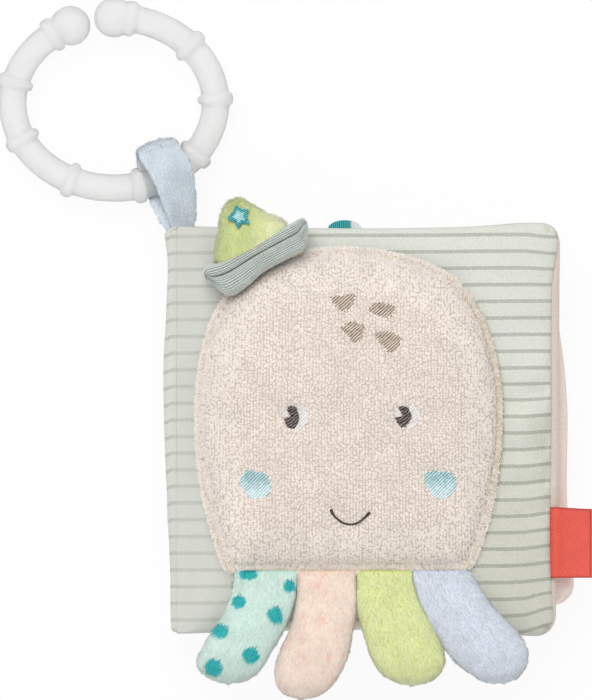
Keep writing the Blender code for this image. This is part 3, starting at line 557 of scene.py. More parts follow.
def tape_look(name):
    """Woven tape with a fine diagonal twill, darker along its long sides and along the fold."""
    look = Look(name, 0.55, sheen=0.1, specular=0.35)
    twill = look.wave(0.52, 62, 0.3)
    colour = look.mix(look.spread(twill, 0.15, 0.7), srgb(214, 66, 54), srgb(240, 104, 88))
    colour = look.mix(look.math("MULTIPLY", look.attribute("edge"), 0.6), colour, srgb(160, 38, 34))
    return look.finished(look.varied(colour, (5, 0.04), (0.4, 0.06)), twill, 0.07, 0.8)


def plastic_look(name):
    """Milky translucent plastic."""
    look = Look(name, 0.42, specular=0.4)
    look.set({"Subsurface Weight": 1.0, "Subsurface Radius": (1.0, 1.0, 1.0), "Subsurface Scale": 0.008,
              "Transmission Weight": 0.6, "IOR": 1.3})
    return look.finished(look.varied(srgb(252, 251, 251), (14, 0.012)), look.noise(1.2, 1.0), 0.01, 0.3)


def film_look(name):
    """Thin crinkled plastic film."""
    look = Look(name, 0.25, specular=0.6)
    return look.finished(look.varied(srgb(225, 230, 232), (4, 0.04)), look.noise(2.2, 3.0), 0.3, 0.8)


def wadding_look(name):
    """Loose polyester wadding."""
    look = Look(name, 1.0, sheen=0.3, specular=0.05)
    colour = look.varied(srgb(244, 243, 240), (1.5, 0.06), (0.4, 0.05))
    return look.finished(colour, look.noise(0.8, 4.0), 0.5, 0.9)


STRIPES = striped_look("striped_satin")
LINING = cotton_look("lining_cotton", srgb(215, 201, 191))
# The leaf's cloth is the lining cotton painted lighter: painted light on the leaf's edge, which lies in the
# cover's shade.
LINING_PAINTED_LIGHTER = cotton_look("lining_cotton_painted_lighter", srgb(245, 229, 219))
WADDING = wadding_look("wadding")
FILM = film_look("crinkle_film")
TERRY = terry_look("beige_terry", srgb(220, 205, 195), srgb(246, 236, 227))
# The fluff is paler than the terry, and is lifted further as painted light on the pad's steep rim.
FLUFF = terry_look("terry_fluff", srgb(245, 232, 222), srgb(255, 250, 245))
BORDER = thread_look("border_thread", srgb(250, 241, 226), srgb(206, 188, 166), 20, 0.42)
DARK = thread_look("dark_thread", srgb(142, 128, 122), srgb(32, 24, 24), 52, 0.70, gap=0.3, wander=5.0)
MOUTH_THREAD = thread_look("mouth_thread", srgb(74, 56, 46), srgb(30, 20, 18), 40, 0.7)
WHITE = thread_look("white_thread", srgb(243, 241, 240), srgb(214, 210, 209), 46, 0.7)
AQUA = thread_look("aqua_thread", srgb(190, 224, 229), srgb(106, 151, 158), 45, 0.66,
                   (srgb(236, 250, 252), srgb(166, 204, 210)))
TAUPE = thread_look("taupe_thread", srgb(216, 200, 184), srgb(118, 96, 82), 48, 0.66)
TEAL = thread_look("teal_thread", srgb(70, 190, 196), srgb(16, 104, 110), 120, 0.5)
PALE_AQUA = thread_look("pale_aqua_thread", srgb(196, 240, 240), srgb(120, 190, 194), 120, 0.5)
MINT = plush_look("mint_plush", srgb(197, 231, 217), srgb(240, 250, 245),
                  print_and_painted_light_pair=(srgb(16, 152, 156), srgb(84, 214, 214)))
PEACH = plush_look("peach_plush", srgb(248, 219, 199), srgb(255, 247, 238), blotches=srgb(250, 204, 188))
LIME = plush_look("lime_plush", srgb(212, 224, 134), srgb(250, 252, 212), 0.11)
BLUE = plush_look("blue_plush", srgb(202, 213, 228), srgb(245, 248, 253), 0.11)
# The loop's second pair of colours, darker, is painted shade on the strap.
LOOP_BLUE = plush_look("loop_plush", srgb(216, 228, 238), srgb(248, 252, 254),
                       print_and_painted_light_pair=(srgb(197, 209, 219), srgb(237, 243, 248)))
# The hat's second pair of colours, paler, is painted light on its right side.
HAT_LIME = plush_look("hat_lime_plush", srgb(202, 215, 128), srgb(238, 244, 196),
                      print_and_painted_light_pair=(srgb(240, 247, 172), srgb(255, 255, 230)))
KNIT = knit_look("grey_green_knit")
RED = tape_look("red_tape")
PLASTIC = plastic_look("milky_plastic")
TAB_THREAD = tab_look("tab_thread")


# Pages

SEAM_X = STITCH_X - 0.06
SEAM_REACH = 9.0
SEAM_SWELL = 2.9
SEAM_HALF = 0.12
RIM_RUN = 0.8
CORNER_EASE = 1.6
SIDE_FOLDS_APART, END_FOLDS_APART = 200, 500
SEWN_CORNER = 0.6
PAGE_STEPS = 170
FILLING_STEPS = 70
PAD_GAP = 0.5
PAD_ROUGHNESS = 0.6
FILM_SHARE = 0.95
FILM_GAP = 0.6
FILM_THICK = 0.1

# The stripes: the first one's place, how they slope and widen across the cover, and their pitch
FIRST_STRIPE = 52.2
STRIPED_HALF = 52.0
STRIPE_SLOPE = 0.7
STRIPE_PITCH = 4.4955
STRIPE_WIDENING = 0.027

# How far the stripes bend down, and the stretches of x and y that each bend comes in over
STRIPE_BENDS = (
    (0.8, (42, 51), (36, 50)), (-0.8, (36, 52), (-15, -35)),
    (-0.65, (14, 34), (17, 6)), (-0.3, (14, 34), (-15, -35)),
    (-0.45, (42, 50), (17, 6)), (-0.3, (42, 50), (0, -12)),
    (0.5, (42, 50), (-18, -36)), (-1.2, (42, 50), (-40, -46)),
)

# Slanting pulls near the cover's right seam: (y at the seam, rise)
PULLS = (
    (-60, 0), (-36, 0), (-28, 0.35), (-22, -0.3), (-17, 0.45), (-14.4, -1.2), (-11, -0.1), (-7.7, 0.55),
    (-5.2, -1.2), (0, 0.1), (5.3, 1.0), (10, -0.9), (15.5, 0.6), (22, 0.1), (28, -0.25), (34, 0), (60, 0),
)
PULL_SLANT = 0.16

# How far sides stand out from straight: (place along the side, distance)
FLAT = ((-60, 0), (60, 0))
COVER_RIGHT = ((-56, 0.6), (-50, 0.45), (-38, 0.0), (0, -0.05), (30, 0.0), (40, 0.25), (51, 1.6), (56, 1.6))
COVER_TOP = ((-52, -0.3), (-20, -0.75), (10, -0.85), (30, -0.3), (42, 0.5), (52, 0.8))
COVER_BOTTOM = ((-52, 0.3), (-20, 1.1), (10, 1.3), (35, 0.1), (52, -0.5))
LINING_RIGHT = (
    (-60, -0.9), (-50, -0.9), (-35, -0.75), (-24, -0.5), (-12, -0.2), (0, 0), (30, 0), (40, 0.05),
    (48, 0.15), (60, 0.15),
)
LEAF_RIGHT = (
    (-50, 1.7), (-42, 1.9), (-38, 1.7), (-30, 0.8), (-20, 0.1), (8, 0), (18, -0.8), (28, -2.2), (40, -4),
    (56, -5.5),
)
LEAF_BOTTOM = -47.5

# The lining's roll over the cover's open side
ROLL_RIGHT = 52.1
ROLL_WIDTH = 1.9
ROLL_HEIGHT = 1.5
ROLL_TURN = 118
ROLL_STEPS = 9


def page_square(count):
    """A square of u and v from -1 to 1, closer together near its sides."""
    line = np.linspace(-1, 1, count)
    line = line * (1.25 - 0.25 * line**2)
    return np.meshgrid(line, line, indexing="xy")


def stripe_count(x, y):
    """Stripes passed on the way down the cover. They lie a little closer on the left."""
    across = np.clip((x + STRIPED_HALF) / (2 * STRIPED_HALF), 0, 1)
    bend = 0.75 * smoothstep(-52.3, -54.5, x) + 0.16 * noise(points_of(x, y), 13, 2)
    for amount, x_stretch, y_stretch in STRIPE_BENDS:
        bend = bend + amount * smoothstep(*x_stretch, x) * smoothstep(*y_stretch, y)
    return (FIRST_STRIPE + STRIPE_SLOPE * across - y - bend) / (STRIPE_PITCH + STRIPE_WIDENING * across)


def stripe_values(grid):
    """Where the stripes lie on a cloth, and its painted shade towards the spine and the open side."""
    x, y = grid[..., 0], grid[..., 1]
    # Painted shade at the lower right and down the lower part of the open side.
    dim = smoothstep(12, 38, x) * smoothstep(20, -40, y)
    dim = np.maximum(dim, smoothstep(40, 48, x) * smoothstep(9, 1, y) * 0.8)
    # Painted shade towards the spine, less of it on the spine's own side.
    shade = smoothstep(-25, -42, x) * (1 - 0.45 * smoothstep(-51.4, -53, x))
    return {"stripes": stripe_count(x, y), "shade": shade, "dim": dim}


class Page:
    """One padded page: its outline and the height of its faces."""

    def __init__(self, middle, right, bottom, shapes, seed, corner=PAGE_CORNER, left=PAGE_LEFT):
        self.middle, self.shapes, self.seed, self.corner = middle, shapes, seed, corner
        self.sewn = left < PAGE_LEFT
        self.half = np.array((right - left, PAGE_TOP - bottom)) / 2
        self.centre = np.array((right + left, PAGE_TOP + bottom)) / 2

    def flat(self, u, v):
        """Places in the page's plane, with rounded corners and drawn sides."""
        place = self.half * np.stack((u, v), axis=-1)
        corner = np.where((u < 0) & self.sewn, SEWN_CORNER, self.corner)[..., None]
        over = (np.abs(place) - (self.half - corner)) / corner
        size = np.maximum(np.linalg.norm(over, axis=-1, keepdims=True), 1e-6)
        reach = over.max(axis=-1, keepdims=True) / size
        eased = np.sign(place) * (self.half - corner * (1 - over * reach))
        in_corner = (over > 0).all(axis=-1, keepdims=True)
        x, y = np.moveaxis(np.where(in_corner, eased, place) + self.centre, -1, 0)
        right, top, bottom = self.shapes
        moved = x + read_off(right, y) * smoothstep(0.55, 1, u)
        y = y + read_off(top, x) * smoothstep(0.6, 1, v)
        y = y + read_off(bottom, x) * smoothstep(0.6, 1, -v)
        return moved, y

    def depth(self, u, v):
        """How far in from the nearest side, eased across the corners."""
        a, b = self.half[0] * (1 - np.abs(u)), self.half[1] * (1 - np.abs(v))
        return np.maximum(-CORNER_EASE * np.log(np.exp(-a / CORNER_EASE) + np.exp(-b / CORNER_EASE)), 0)

    def gather(self, u, v, x, y):
        """Small folds that run in from the seams, different ones on each side."""
        side = np.abs(u) > np.abs(v)
        along = np.where(side, y + SIDE_FOLDS_APART * np.sign(u), x + END_FOLDS_APART * np.sign(v))
        meet = smoothstep(0.0, 0.10, np.abs(np.abs(u) - np.abs(v)))
        return meet * (flat_noise(along, 4.6, self.seed) + 0.6 * flat_noise(along, 2.1, self.seed + 3))

    def surface(self, u, v, side, inset=0.0, rough=1.0):
        """The face on that side of the page."""
        x, y = self.flat(u, v)
        depth = self.depth(u, v)
        crown = np.sqrt(np.maximum(1 - (1 - np.clip(depth / PAGE_ROUND, 0, 1)) ** 2, 0))
        level = SEAM_HALF + (PAGE_RIM / 2 - SEAM_HALF) * np.sqrt(np.clip(depth / RIM_RUN, 0, 1))
        level = level + (PAGE_THICK - PAGE_RIM) / 2 * crown
        fading = smoothstep(0.0, 1.6, depth) * np.exp(-depth / 5.0)
        level = level + rough * 0.55 * self.gather(u, v, x, y) * fading
        place = points_of(x, y, 9.0 * side)
        level = level + rough * (0.22 * noise(place, 15, self.seed) - 0.22) * smoothstep(2, 14, depth)
        level = level + rough * 0.07 * noise(place, 4.5, self.seed) * smoothstep(1, 6, depth)
        if self.sewn:
            pulls = read_off(PULLS, y + PULL_SLANT * (50 - x)) * smoothstep(33, 46, x)
            level = level + rough * pulls * smoothstep(0.3, 2.0, depth)
            level = self.seam_level(level, v, x, y, rough)
        return points_of(x, y, self.middle + side * np.maximum(level - inset, 0.05))

    def seam_level(self, level, v, x, y, rough):
        """The left side doesn't close towards the page's middle: it is sewn to the spine."""
        inward = x - SEAM_X
        near = np.clip(inward / SEAM_REACH, 0, 1)
        ends = np.sqrt(np.clip(self.half[1] * (1 - np.abs(v)) / 3.0, 0, 1))
        swell = SEAM_SWELL * smoothstep(-0.12, 1.0, near) * (0.45 + 0.55 * ends)
        folds = flat_noise(y, 5.2, self.seed + 5) * 0.30 + flat_noise(y, 2.4, self.seed + 6) * 0.16
        folds = folds * (1 + 1.3 * np.exp(-((y - 8) / 16) ** 2))
        fading = smoothstep(0.0, 1.6, inward) * np.exp(-np.maximum(inward, 0) / 3.5)
        seam = SPINE_TOP - COVER_Z + swell - 0.1 + rough * folds * fading
        seam = np.minimum(seam, 0.9 + 5 * ends)
        return level + (seam - level) * (1 - smoothstep(2.5, SEAM_REACH, inward))


COVER_SHAPES = (COVER_RIGHT, COVER_TOP, COVER_BOTTOM)
cover = Page(COVER_Z, right=50.15, bottom=-PAGE_TOP, shapes=COVER_SHAPES, seed=1, corner=5.4, left=SEAM_X)
cover_under = Page(COVER_Z, right=ROLL_RIGHT, bottom=-PAGE_TOP,
                   shapes=(LINING_RIGHT, COVER_TOP, COVER_BOTTOM), seed=2, corner=5.9)
leaf = Page(LEAF_Z, right=54.3, bottom=LEAF_BOTTOM, shapes=(LEAF_RIGHT, COVER_TOP, FLAT), seed=3, corner=6.0)
back = Page(BACK_Z, right=50.6, bottom=-PAGE_TOP, shapes=COVER_SHAPES, seed=4)


def with_roll(grid, v, thickness):
    """The lining's grid with its open side rolled up and over the page's edge."""
    x, y, z = grid[:, -1].T
    size = 0.12 + 0.88 * smoothstep(0.0, 0.05, 1 - np.abs(v[:, -1]))
    size = size * (1 - 0.62 * smoothstep(37, 50, y)) * (1 - 0.85 * smoothstep(49.5, 53.5, y))
    size = size * (1 - 0.55 * smoothstep(-46, -51, y))
    folds = 1 + 0.14 * flat_noise(y, 3.6, 8) + 0.10 * flat_noise(y, 1.7, 9)
    added = []
    for step in range(1, ROLL_STEPS + 1):
        angle = math.radians(ROLL_TURN * step / ROLL_STEPS)
        added.append(points_of(x - ROLL_WIDTH * size * (1 - math.cos(angle)), y,
                               z + ROLL_HEIGHT * folds * size * math.sin(angle)))
    rolled = np.repeat((CLOTH * (0.1 + 0.9 * size))[:, None, None], ROLL_STEPS, axis=1)
    grid = np.concatenate((grid, np.stack(added, axis=1)), axis=1)
    return grid, np.concatenate((thickness, rolled), axis=1)


def add_page_cloth(name, node, body, look, slot, page, side):
    """One cloth of a page, drawn over its padding."""
    u, v = page_square(PAGE_STEPS)
    grid = page.surface(u, v, side)
    inside = np.maximum(1 - np.abs(u), 1 - np.abs(v))
    thickness = (CLOTH * (0.1 + 0.9 * smoothstep(0.0, 0.14, inside)))[..., None]
    if page is cover_under:
        grid, thickness = with_roll(grid, v, thickness)
    grid, thickness = grid[:, ::side], thickness[:, ::side]
    values = stripe_values(grid)
    if page is cover_under:
        # The roll's inner end, against the cover's edge, is painted darker: stitching, and painted shade in
        # the crease.
        values["seam"] = np.zeros(grid.shape[:2])
        values["seam"][:, :2] = 0.85
    piece = sheet_shell(name, body, look, grid, thickness, values)
    stand_for(piece, node)


def add_page_filling(prefix, body, page, film_side):
    """The padding and the crinkle film inside a page."""
    u, v = page_square(FILLING_STEPS)
    u, v = u * FILM_SHARE, v * FILM_SHARE
    faces = {side: page.surface(u, v, side, CLOTH + PAD_GAP, PAD_ROUGHNESS) for side in (1, -1)}
    film = faces[film_side][:, ::film_side].copy()
    film[..., 2] += 0.12 * noise(film, 2.5, 5)
    faces[film_side][..., 2] -= FILM_GAP * film_side
    pad = pillow(prefix + "_pad", body, WADDING, faces[1], faces[-1])
    stand_for(pad, prefix + "_wadding")
    sheet = sheet_shell(prefix + "_film_sheet", body, FILM, film, FILM_THICK)
    stand_for(sheet, prefix + "_film")


def add_pages():
    """The fillings and the cloths of the three pages."""
    add_page_filling("cover", "front_cover", cover, 1)
    add_page_filling("leaf", "leaf", leaf, 1)
    add_page_filling("back", "back_cover", back, -1)
    for row in (
        ("cover_cloth", "cover_panel", "front_cover", STRIPES, "striped_satin", cover, 1),
        ("cover_lining_cloth", "cover_lining", "front_cover", LINING, "lining_cotton", cover_under, -1),
        ("leaf_front_cloth", "leaf_front_panel", "leaf", LINING_PAINTED_LIGHTER, "lining_cotton", leaf, 1),
        ("leaf_back_cloth", "leaf_back_panel", "leaf", LINING_PAINTED_LIGHTER, "lining_cotton", leaf, -1),
        ("back_lining_cloth", "back_lining", "back_cover", LINING, "lining_cotton", back, 1),
        ("back_cloth", "back_panel", "back_cover", STRIPES, "striped_satin", back, -1),
    ):
        add_page_cloth(*row)


# Spine, leaf tape and tab

# How far the spine's side stands out from straight: (y, distance)
SPINE_SIDE = (
    (-52, 1.55), (-46, 1.5), (-24, 0.75), (-5, -0.05), (15, -0.35), (35, 0.45), (46, 0.65), (54, -0.35),
)
SPINE_ROUND = 2.4
SPINE_TUCK = -51.6
SPINE_LOW = BACK_Z - PAGE_RIM / 2 - 0.6
SPINE_SINK = 0.35
SPINE_HEM = ((STITCH_X - 0.15, SPINE_LOW), (-50.4, SPINE_LOW + 0.4), (-49.3, SPINE_LOW + 1.1))
SPINE_HALF = 54.9
SPINE_MIDDLE = 0.2
SPINE_STEPS = 200
TUCK_STEPS = 8
TAPE_X = STITCH_X + 0.2
TAPE_TOP = 26.2
TAPE_THICK = 0.6
TAB_LEFT, TAB_MIDDLE, TAB_RIGHT = -10.4, -5.8, -1.2
TAB_HALF = 4.62
TAB_BASE = 54.3
TAB_RISE = 2.45
TAB_THREAD_PITCH = 0.55


def spine_bend(start, middle_z):
    """A quarter turn of the spine's section from that angle on, round a middle at that height."""
    turn = np.radians(np.linspace(start, start + 90, 12))
    middle = np.array((SPINE_LEFT + SPINE_ROUND, middle_z))
    return middle + SPINE_ROUND * np.column_stack((np.cos(turn), np.sin(turn)))


def add_spine():
    """The striped cloth that wraps from the front seam round to the back, its ends tucked in."""
    top = spine_bend(90, SPINE_TOP - SPINE_ROUND - SPINE_SINK)
    low = spine_bend(180, SPINE_LOW + SPINE_ROUND)
    across, z = evenly(np.concatenate((((STITCH_X - 0.02, SPINE_TOP),), top, low, SPINE_HEM)), 70).T
    away = np.clip((STITCH_X - across) / (STITCH_X - SPINE_LEFT), 0, 1)
    length = np.pad(np.linspace(-1, 1, SPINE_STEPS), TUCK_STEPS, mode="edge")[:, None]
    turned = np.linspace(0, 1, TUCK_STEPS + 1)[1:, None]
    tucked = np.concatenate((turned[::-1], np.zeros((SPINE_STEPS, 1)), turned))
    slant = np.where(length > 0, 2.3, 2.8)
    straight = length * SPINE_HALF + SPINE_MIDDLE
    y = straight - signed_power(length, 12) * slant * away**2
    x = across + read_off(SPINE_SIDE, y) * away
    inward = np.maximum(SPINE_TUCK - x, 0) * tucked
    y = y - signed_power(length, 12) * 3.2 * np.clip((x - STITCH_X) / 1.85, 0, 1)
    left_over = np.clip((STITCH_X - x - inward) / (STITCH_X - SPINE_LEFT), 0, 1)
    y = np.where((tucked > 0) & (inward > 0), straight - length * slant * left_over**2, y)
    x, y = x + inward, y - np.sign(length) * 0.4 * tucked
    z = z - 0.5 * tucked * np.clip((z - 14) / 8, -1, 1)
    place = points_of(x, y, z)
    folds = flat_noise(y, 5.5, 21) * 0.22 + flat_noise(y, 2.6, 22) * 0.12
    z = z + (folds + 0.18 * noise(place, 8, 23)) * np.minimum(away * 1.5, 1)
    x = x - 0.25 * noise(place, 11, 24) * away * (1 - tucked)
    grid = points_of(x, y, z)[:, ::-1]
    piece = sheet_shell("spine_cloth", "back_cover", STRIPES, grid, CLOTH, stripe_values(grid))
    stand_for(piece, "spine_panel")


def add_leaf_tape():
    """The leaf's seam allowance, which runs up to the stitch line."""
    z = np.linspace(LEAF_Z - PAGE_RIM / 2, TAPE_TOP, 24)[None, :]
    y = np.linspace(LEAF_BOTTOM + PAGE_CORNER, PAGE_TOP - PAGE_CORNER, 120)[:, None]
    grid = points_of(TAPE_X + 0.05 * flat_noise(y, 6, 31), y, z)
    piece = sheet_shell("leaf_tape", "leaf", LINING, grid, -TAPE_THICK)
    stand_for(piece, "leaf_seam_tape")


def add_tab():
    """The small embroidered tab on the leaf's top edge: teal thread, pale at its right."""
    x = np.linspace(TAB_LEFT, TAB_RIGHT, 60)[None, :]
    rise = np.linspace(0, 1, 24)[:, None]
    arch = TAB_RISE * np.sqrt(np.maximum(1 - ((x - TAB_MIDDLE) / TAB_HALF) ** 2, 0))
    ridge = 0.10 * np.abs(np.sin(x * math.pi / TAB_THREAD_PITCH))
    z = LEAF_Z + 0.75 * np.sqrt(np.maximum(1 - rise**2, 0.02)) + ridge
    grid = points_of(x, TAB_BASE + arch * rise, z)
    low = grid * (1, 1, -1) + (0, 0, 2 * LEAF_Z)
    pale = smoothstep(-4.6, -3.6, grid[..., 0])
    piece = pillow("tab_stitches", "leaf", TAB_THREAD, grid, low, {"pale": pale})
    stand_for(piece, "leaf_tab")


# Head

HEAD_EDGE = closed_curve(traced(
    (228, 571), (216, 545), (205, 505), (198, 460), (196, 420), (198, 380), (205, 340), (218, 308),
    (240, 280), (270, 262), (300, 252), (340, 248), (380, 251), (420, 261), (450, 275), (470, 295),
    (485, 320), (495, 350), (501, 380), (503, 410), (502, 440), (499, 470), (494, 500), (486, 530),
    (477, 555), (468, 569), (440, 571.5), (400, 571.5), (350, 572), (300, 572), (255, 572),
), 720)
EDGE_AWAY = HEAD_EDGE - HEAD_CENTRE
EDGE_ANGLE = np.arctan2(EDGE_AWAY[:, 1], EDGE_AWAY[:, 0])
EDGE_REACH = np.linalg.norm(EDGE_AWAY, axis=1)

LEFT_EYE = traced(
    (284.6, 418.5), (287.6, 418.6), (289.8, 416.2), (290.0, 412.6), (288.2, 410.0), (286.4, 409.4),
    (288.4, 406.6), (291.6, 405.6), (295.4, 407.0), (298.0, 411.6), (298.8, 417.6), (298.0, 423.4),
    (295.2, 427.6), (291.6, 428.5), (288.0, 427.0), (285.4, 423.0),
)
LEFT_WHITE = traced(
    (296.6, 406.2), (301.4, 405.8), (305.6, 409.2), (308.4, 414.4), (308.0, 420.8), (304.8, 426.2),
    (300.0, 429.2), (294.0, 429.8), (297.6, 425.0), (299.2, 417.4), (298.6, 410.4),
)
RIGHT_EYE = traced(
    (394.8, 417.5), (398.1, 417.0), (401.0, 416.0), (403.4, 413.1), (402.6, 410.4), (399.5, 409.7),
    (398.7, 408.0), (401.0, 406.1), (404.2, 405.7), (407.5, 407.7), (409.3, 411.0), (411.1, 415.3),
    (410.4, 419.3), (408.9, 422.2), (406.8, 424.7), (404.2, 426.9), (401.7, 428.0), (399.9, 426.4),
    (398.1, 423.6), (395.9, 421.1),
)
RIGHT_WHITE = traced(
    (408.6, 406.6), (412.6, 406.2), (416.9, 408.8), (419.5, 412.8), (419.6, 417.1), (417.8, 421.4),
    (414.4, 425.1), (409.7, 428.0), (405.0, 429.2), (408.2, 425.1), (410.8, 420.7), (411.3, 415.3),
    (410.0, 410.6),
)
LEFT_SPARK, LEFT_SPARK_RADIUS = photo(287, 413.5), 0.98
RIGHT_SPARK, RIGHT_SPARK_RADIUS = photo(399.2, 413.3), 1.12
LEFT_CHEEK = traced(
    (251.8, 469.2), (257.0, 471.8), (262.5, 471.2), (268.2, 476.0), (271.4, 484.5), (270.4, 492.0),
    (263.0, 497.2), (253.4, 498.8), (246.4, 493.6), (241.6, 487.4), (239.7, 480.4), (244.6, 471.6),
)
RIGHT_CHEEK = traced(
    (425.6, 471.0), (431.8, 469.9), (439.1, 470.9), (445.3, 470.4), (450.9, 472.6), (455.1, 477.6),
    (456.4, 484.3), (454.8, 491.1), (450.3, 495.9), (443.6, 498.9), (436.3, 497.7), (431.0, 492.9),
    (426.6, 488.3), (424.6, 482.7), (424.2, 475.6),
)
MOUTH = traced(
    (330.8, 508.6), (332.6, 513), (337, 518.2), (344.3, 522.8), (352, 523.8), (359, 521.4),
    (365, 516.6), (370, 511.8),
)
MOUTH_ENDS = traced((331, 509), (370, 512))
SPOTS = [traced(*spot) for spot in (
    ((329.6, 297.8), (341.8, 295.5), (354.8, 294.8), (355.6, 299.8), (352.6, 305.4), (348, 310.8),
     (339.3, 310.3), (332.2, 302.4)),
    ((368.6, 310.8), (372.4, 303.7), (383.7, 302.5), (393.2, 306.1), (396.4, 310.2), (393.4, 314),
     (388.8, 319), (380.1, 316.5)),
    ((341.4, 328.4), (343.7, 323.5), (353.6, 321.3), (364, 325.6), (364.8, 332.4), (362.8, 338),
     (358.7, 342), (352.4, 341.4)),
    ((373.6, 332.6), (383.7, 331), (396.6, 333.7), (401.9, 338.1), (400.8, 342.3), (396.4, 349.6),
     (389.3, 353.3), (382.7, 346.4), (377.7, 340.3)),
)]

# Where stitches pull the head's cloth down: (middle, radius, depth)
DIMPLES = [(np.mean(outline, axis=0), radius, depth) for outline, radius, depth in (
    (LEFT_EYE, 3.3, 2.0), (RIGHT_EYE, 3.3, 2.0), (LEFT_CHEEK, 4.6, 1.5), (RIGHT_CHEEK, 4.6, 1.5),
    (MOUTH[2:6], 4.4, 0.6), *((spot, 3.2, 1.2) for spot in SPOTS),
)] + [(end, 3.0, 0.35) for end in MOUTH_ENDS]

# Outlines that the terry loops leave bare, and how far each is grown first
BARE = (
    (LEFT_EYE, 0.0), (LEFT_WHITE, -0.35), (RIGHT_EYE, 0.0), (RIGHT_WHITE, -0.35),
    (LEFT_CHEEK, -0.25), (RIGHT_CHEEK, -0.25), *((spot, -0.2) for spot in SPOTS),
)

COLUMN_PITCH = 0.84
LOOP_PITCH = 0.70
LOOP_HALF_SIZES = (0.53, 0.43, 0.36)
SIDE_LOOPS = 2400
BORDER_STEPS = 3040
BORDER_STEP = 0.087
BORDER_RADIUS = 0.95
BORDER_Z = HEAD_BASE + 1.05
FLUFF_COUNT = 21000
STITCH_STEPS = 96
MOUTH_RADIUS = 0.26
MOUTH_LIFT = 0.46


def head_share(x, y):
    """How far a place lies from the head's centre, as a share of the dome's reach that way."""
    away = np.hypot(x - HEAD_CENTRE[0], y - HEAD_CENTRE[1])
    angle = np.arctan2(y - HEAD_CENTRE[1], x - HEAD_CENTRE[0])
    return away / (np.interp(angle, EDGE_ANGLE, EDGE_REACH, period=2 * math.pi) * DOME_SHARE)


def head_level(x, y):
    """Height of the head's cloth, dimpled where the stitches pull it down."""
    share = np.minimum(head_share(x, y), 1)
    level = HEAD_BASE + HEAD_BORDER + HEAD_RISE * np.sqrt(1 - share**HEAD_FULLNESS)
    for centre, radius, depth in DIMPLES:
        level = level - depth * np.exp(-(((x - centre[0]) ** 2 + (y - centre[1]) ** 2) / radius**2))
    place = points_of(x, y)
    return level + 0.35 * noise(place, 17, 41) * (1 - share**4) + 0.10 * noise(place, 5, 42) * (1 - share**6)


def on_dome(points):
    """Points of the head's cloth over places in the plane."""
    return raised(points, head_level(points[..., 0], points[..., 1]))


def within(points, outline):
    """Which points lie inside a closed outline."""
    outline = np.asarray(outline)
    x, y = points[:, 0, None], points[:, 1, None]
    a, b = outline, np.roll(outline, -1, axis=0)
    crosses = (a[:, 1] > y) != (b[:, 1] > y)
    at = a[:, 0] + (y - a[:, 1]) / np.where(crosses, b[:, 1] - a[:, 1], 1) * (b[:, 0] - a[:, 0])
    return (np.sum(crosses & (x < at), axis=1) % 2).astype(bool)


def grown(outline, by):
    """An outline moved out from its middle by so many millimetres."""
    middle = np.mean(outline, axis=0)
    away = np.asarray(outline) - middle
    return middle + away * (1 + by / np.linalg.norm(away, axis=1, keepdims=True))


def add_head_cloth():
    """The terry cloth of the pad, from the cover over the border to its crown, and its stuffing."""
    rings = [raised(HEAD_CENTRE + EDGE_AWAY * share, HEAD_BASE + lift)
             for share, lift in ((0.995, 0.05), (1.0, 0.6), (0.99, 1.4))]
    for share in 1 - np.linspace(0, 1, 110) ** 1.5 * 0.995:
        rings.append(on_dome(HEAD_CENTRE + EDGE_AWAY * share * DOME_SHARE))
    piece = tube("head_cloth", "front_cover", TERRY, np.stack(rings), CLOTH)
    stand_for(piece, "head_panel")
    fill = []
    for share in 1 - np.linspace(0.06, 1, 40) * 0.99:
        fill.append(on_dome(HEAD_CENTRE + EDGE_AWAY * share * DOME_SHARE) - UP * (CLOTH + HEAD_FILL_GAP))
    floor = raised(fill[0][:, :2], HEAD_BASE + 0.1)
    stuffing = tube("head_fill", "front_cover", WADDING, np.stack([floor, *fill]))
    stand_for(stuffing, "head_stuffing")


def column_loops(rng):
    """Places of the terry loops along their columns, and the way that each column runs there."""
    fine = np.linspace(-1, 1, 400)
    across = HEAD_CENTRE[0] + fine * HEAD_HALF[0] * 1.01
    along = lengths_along(np.column_stack((across, head_level(across, HEAD_CENTRE[1]) * 0.6)))
    y = HEAD_CENTRE[1] + fine * HEAD_HALF[1] * 1.01
    places, ways = [], []
    for x in np.interp(np.arange(0, along[-1], COLUMN_PITCH), along, across):
        sway = 0.22 * flat_noise(y, 9, 50) + 0.10 * flat_noise(y + 7 * x, 3, 51)
        line = np.column_stack((x + sway, y))
        line = line[head_share(line[:, 0], line[:, 1]) < 1.0]
        if len(line) < 6:
            continue
        line = on_dome(line)
        steps = lengths_along(line)
        count = int(steps[-1] * 0.96 / LOOP_PITCH)
        at = (np.arange(count) + rng.uniform(0.1, 0.9)) / count * steps[-1] + rng.normal(0, 0.10, count)
        points = points_at(at, steps, line)
        places.append(points)
        ways.append(unit(points_at(at + 0.3, steps, line) - points + 1e-6))
    return places, ways


def loop_places(rng):
    """Places and ways of all the terry loops: in columns, and loose ones near the pad's edge."""
    places, ways = column_loops(rng)
    pick = rng.integers(0, len(HEAD_EDGE), SIDE_LOOPS)
    out = 1 - 0.22 * rng.random(SIDE_LOOPS) ** 1.4
    places.append(on_dome(HEAD_CENTRE + EDGE_AWAY[pick] * (out * DOME_SHARE)[:, None]))
    ways.append(unit(rng.normal(0, 1, (SIDE_LOOPS, 3))))
    places, ways = np.concatenate(places), np.concatenate(ways)
    keep = np.ones(len(places), bool)
    for outline, by in BARE:
        keep &= ~within(places[:, :2], grown(outline, by))
    return places[keep], ways[keep]


def dome_normals(places):
    """Normals of the head's cloth at places on it."""
    step = 0.05
    x, y = places[:, 0], places[:, 1]
    slope_x = head_level(x + step, y) - head_level(x - step, y)
    slope_y = head_level(x, y + step) - head_level(x, y - step)
    return unit(points_of(-slope_x, -slope_y, 2 * step))


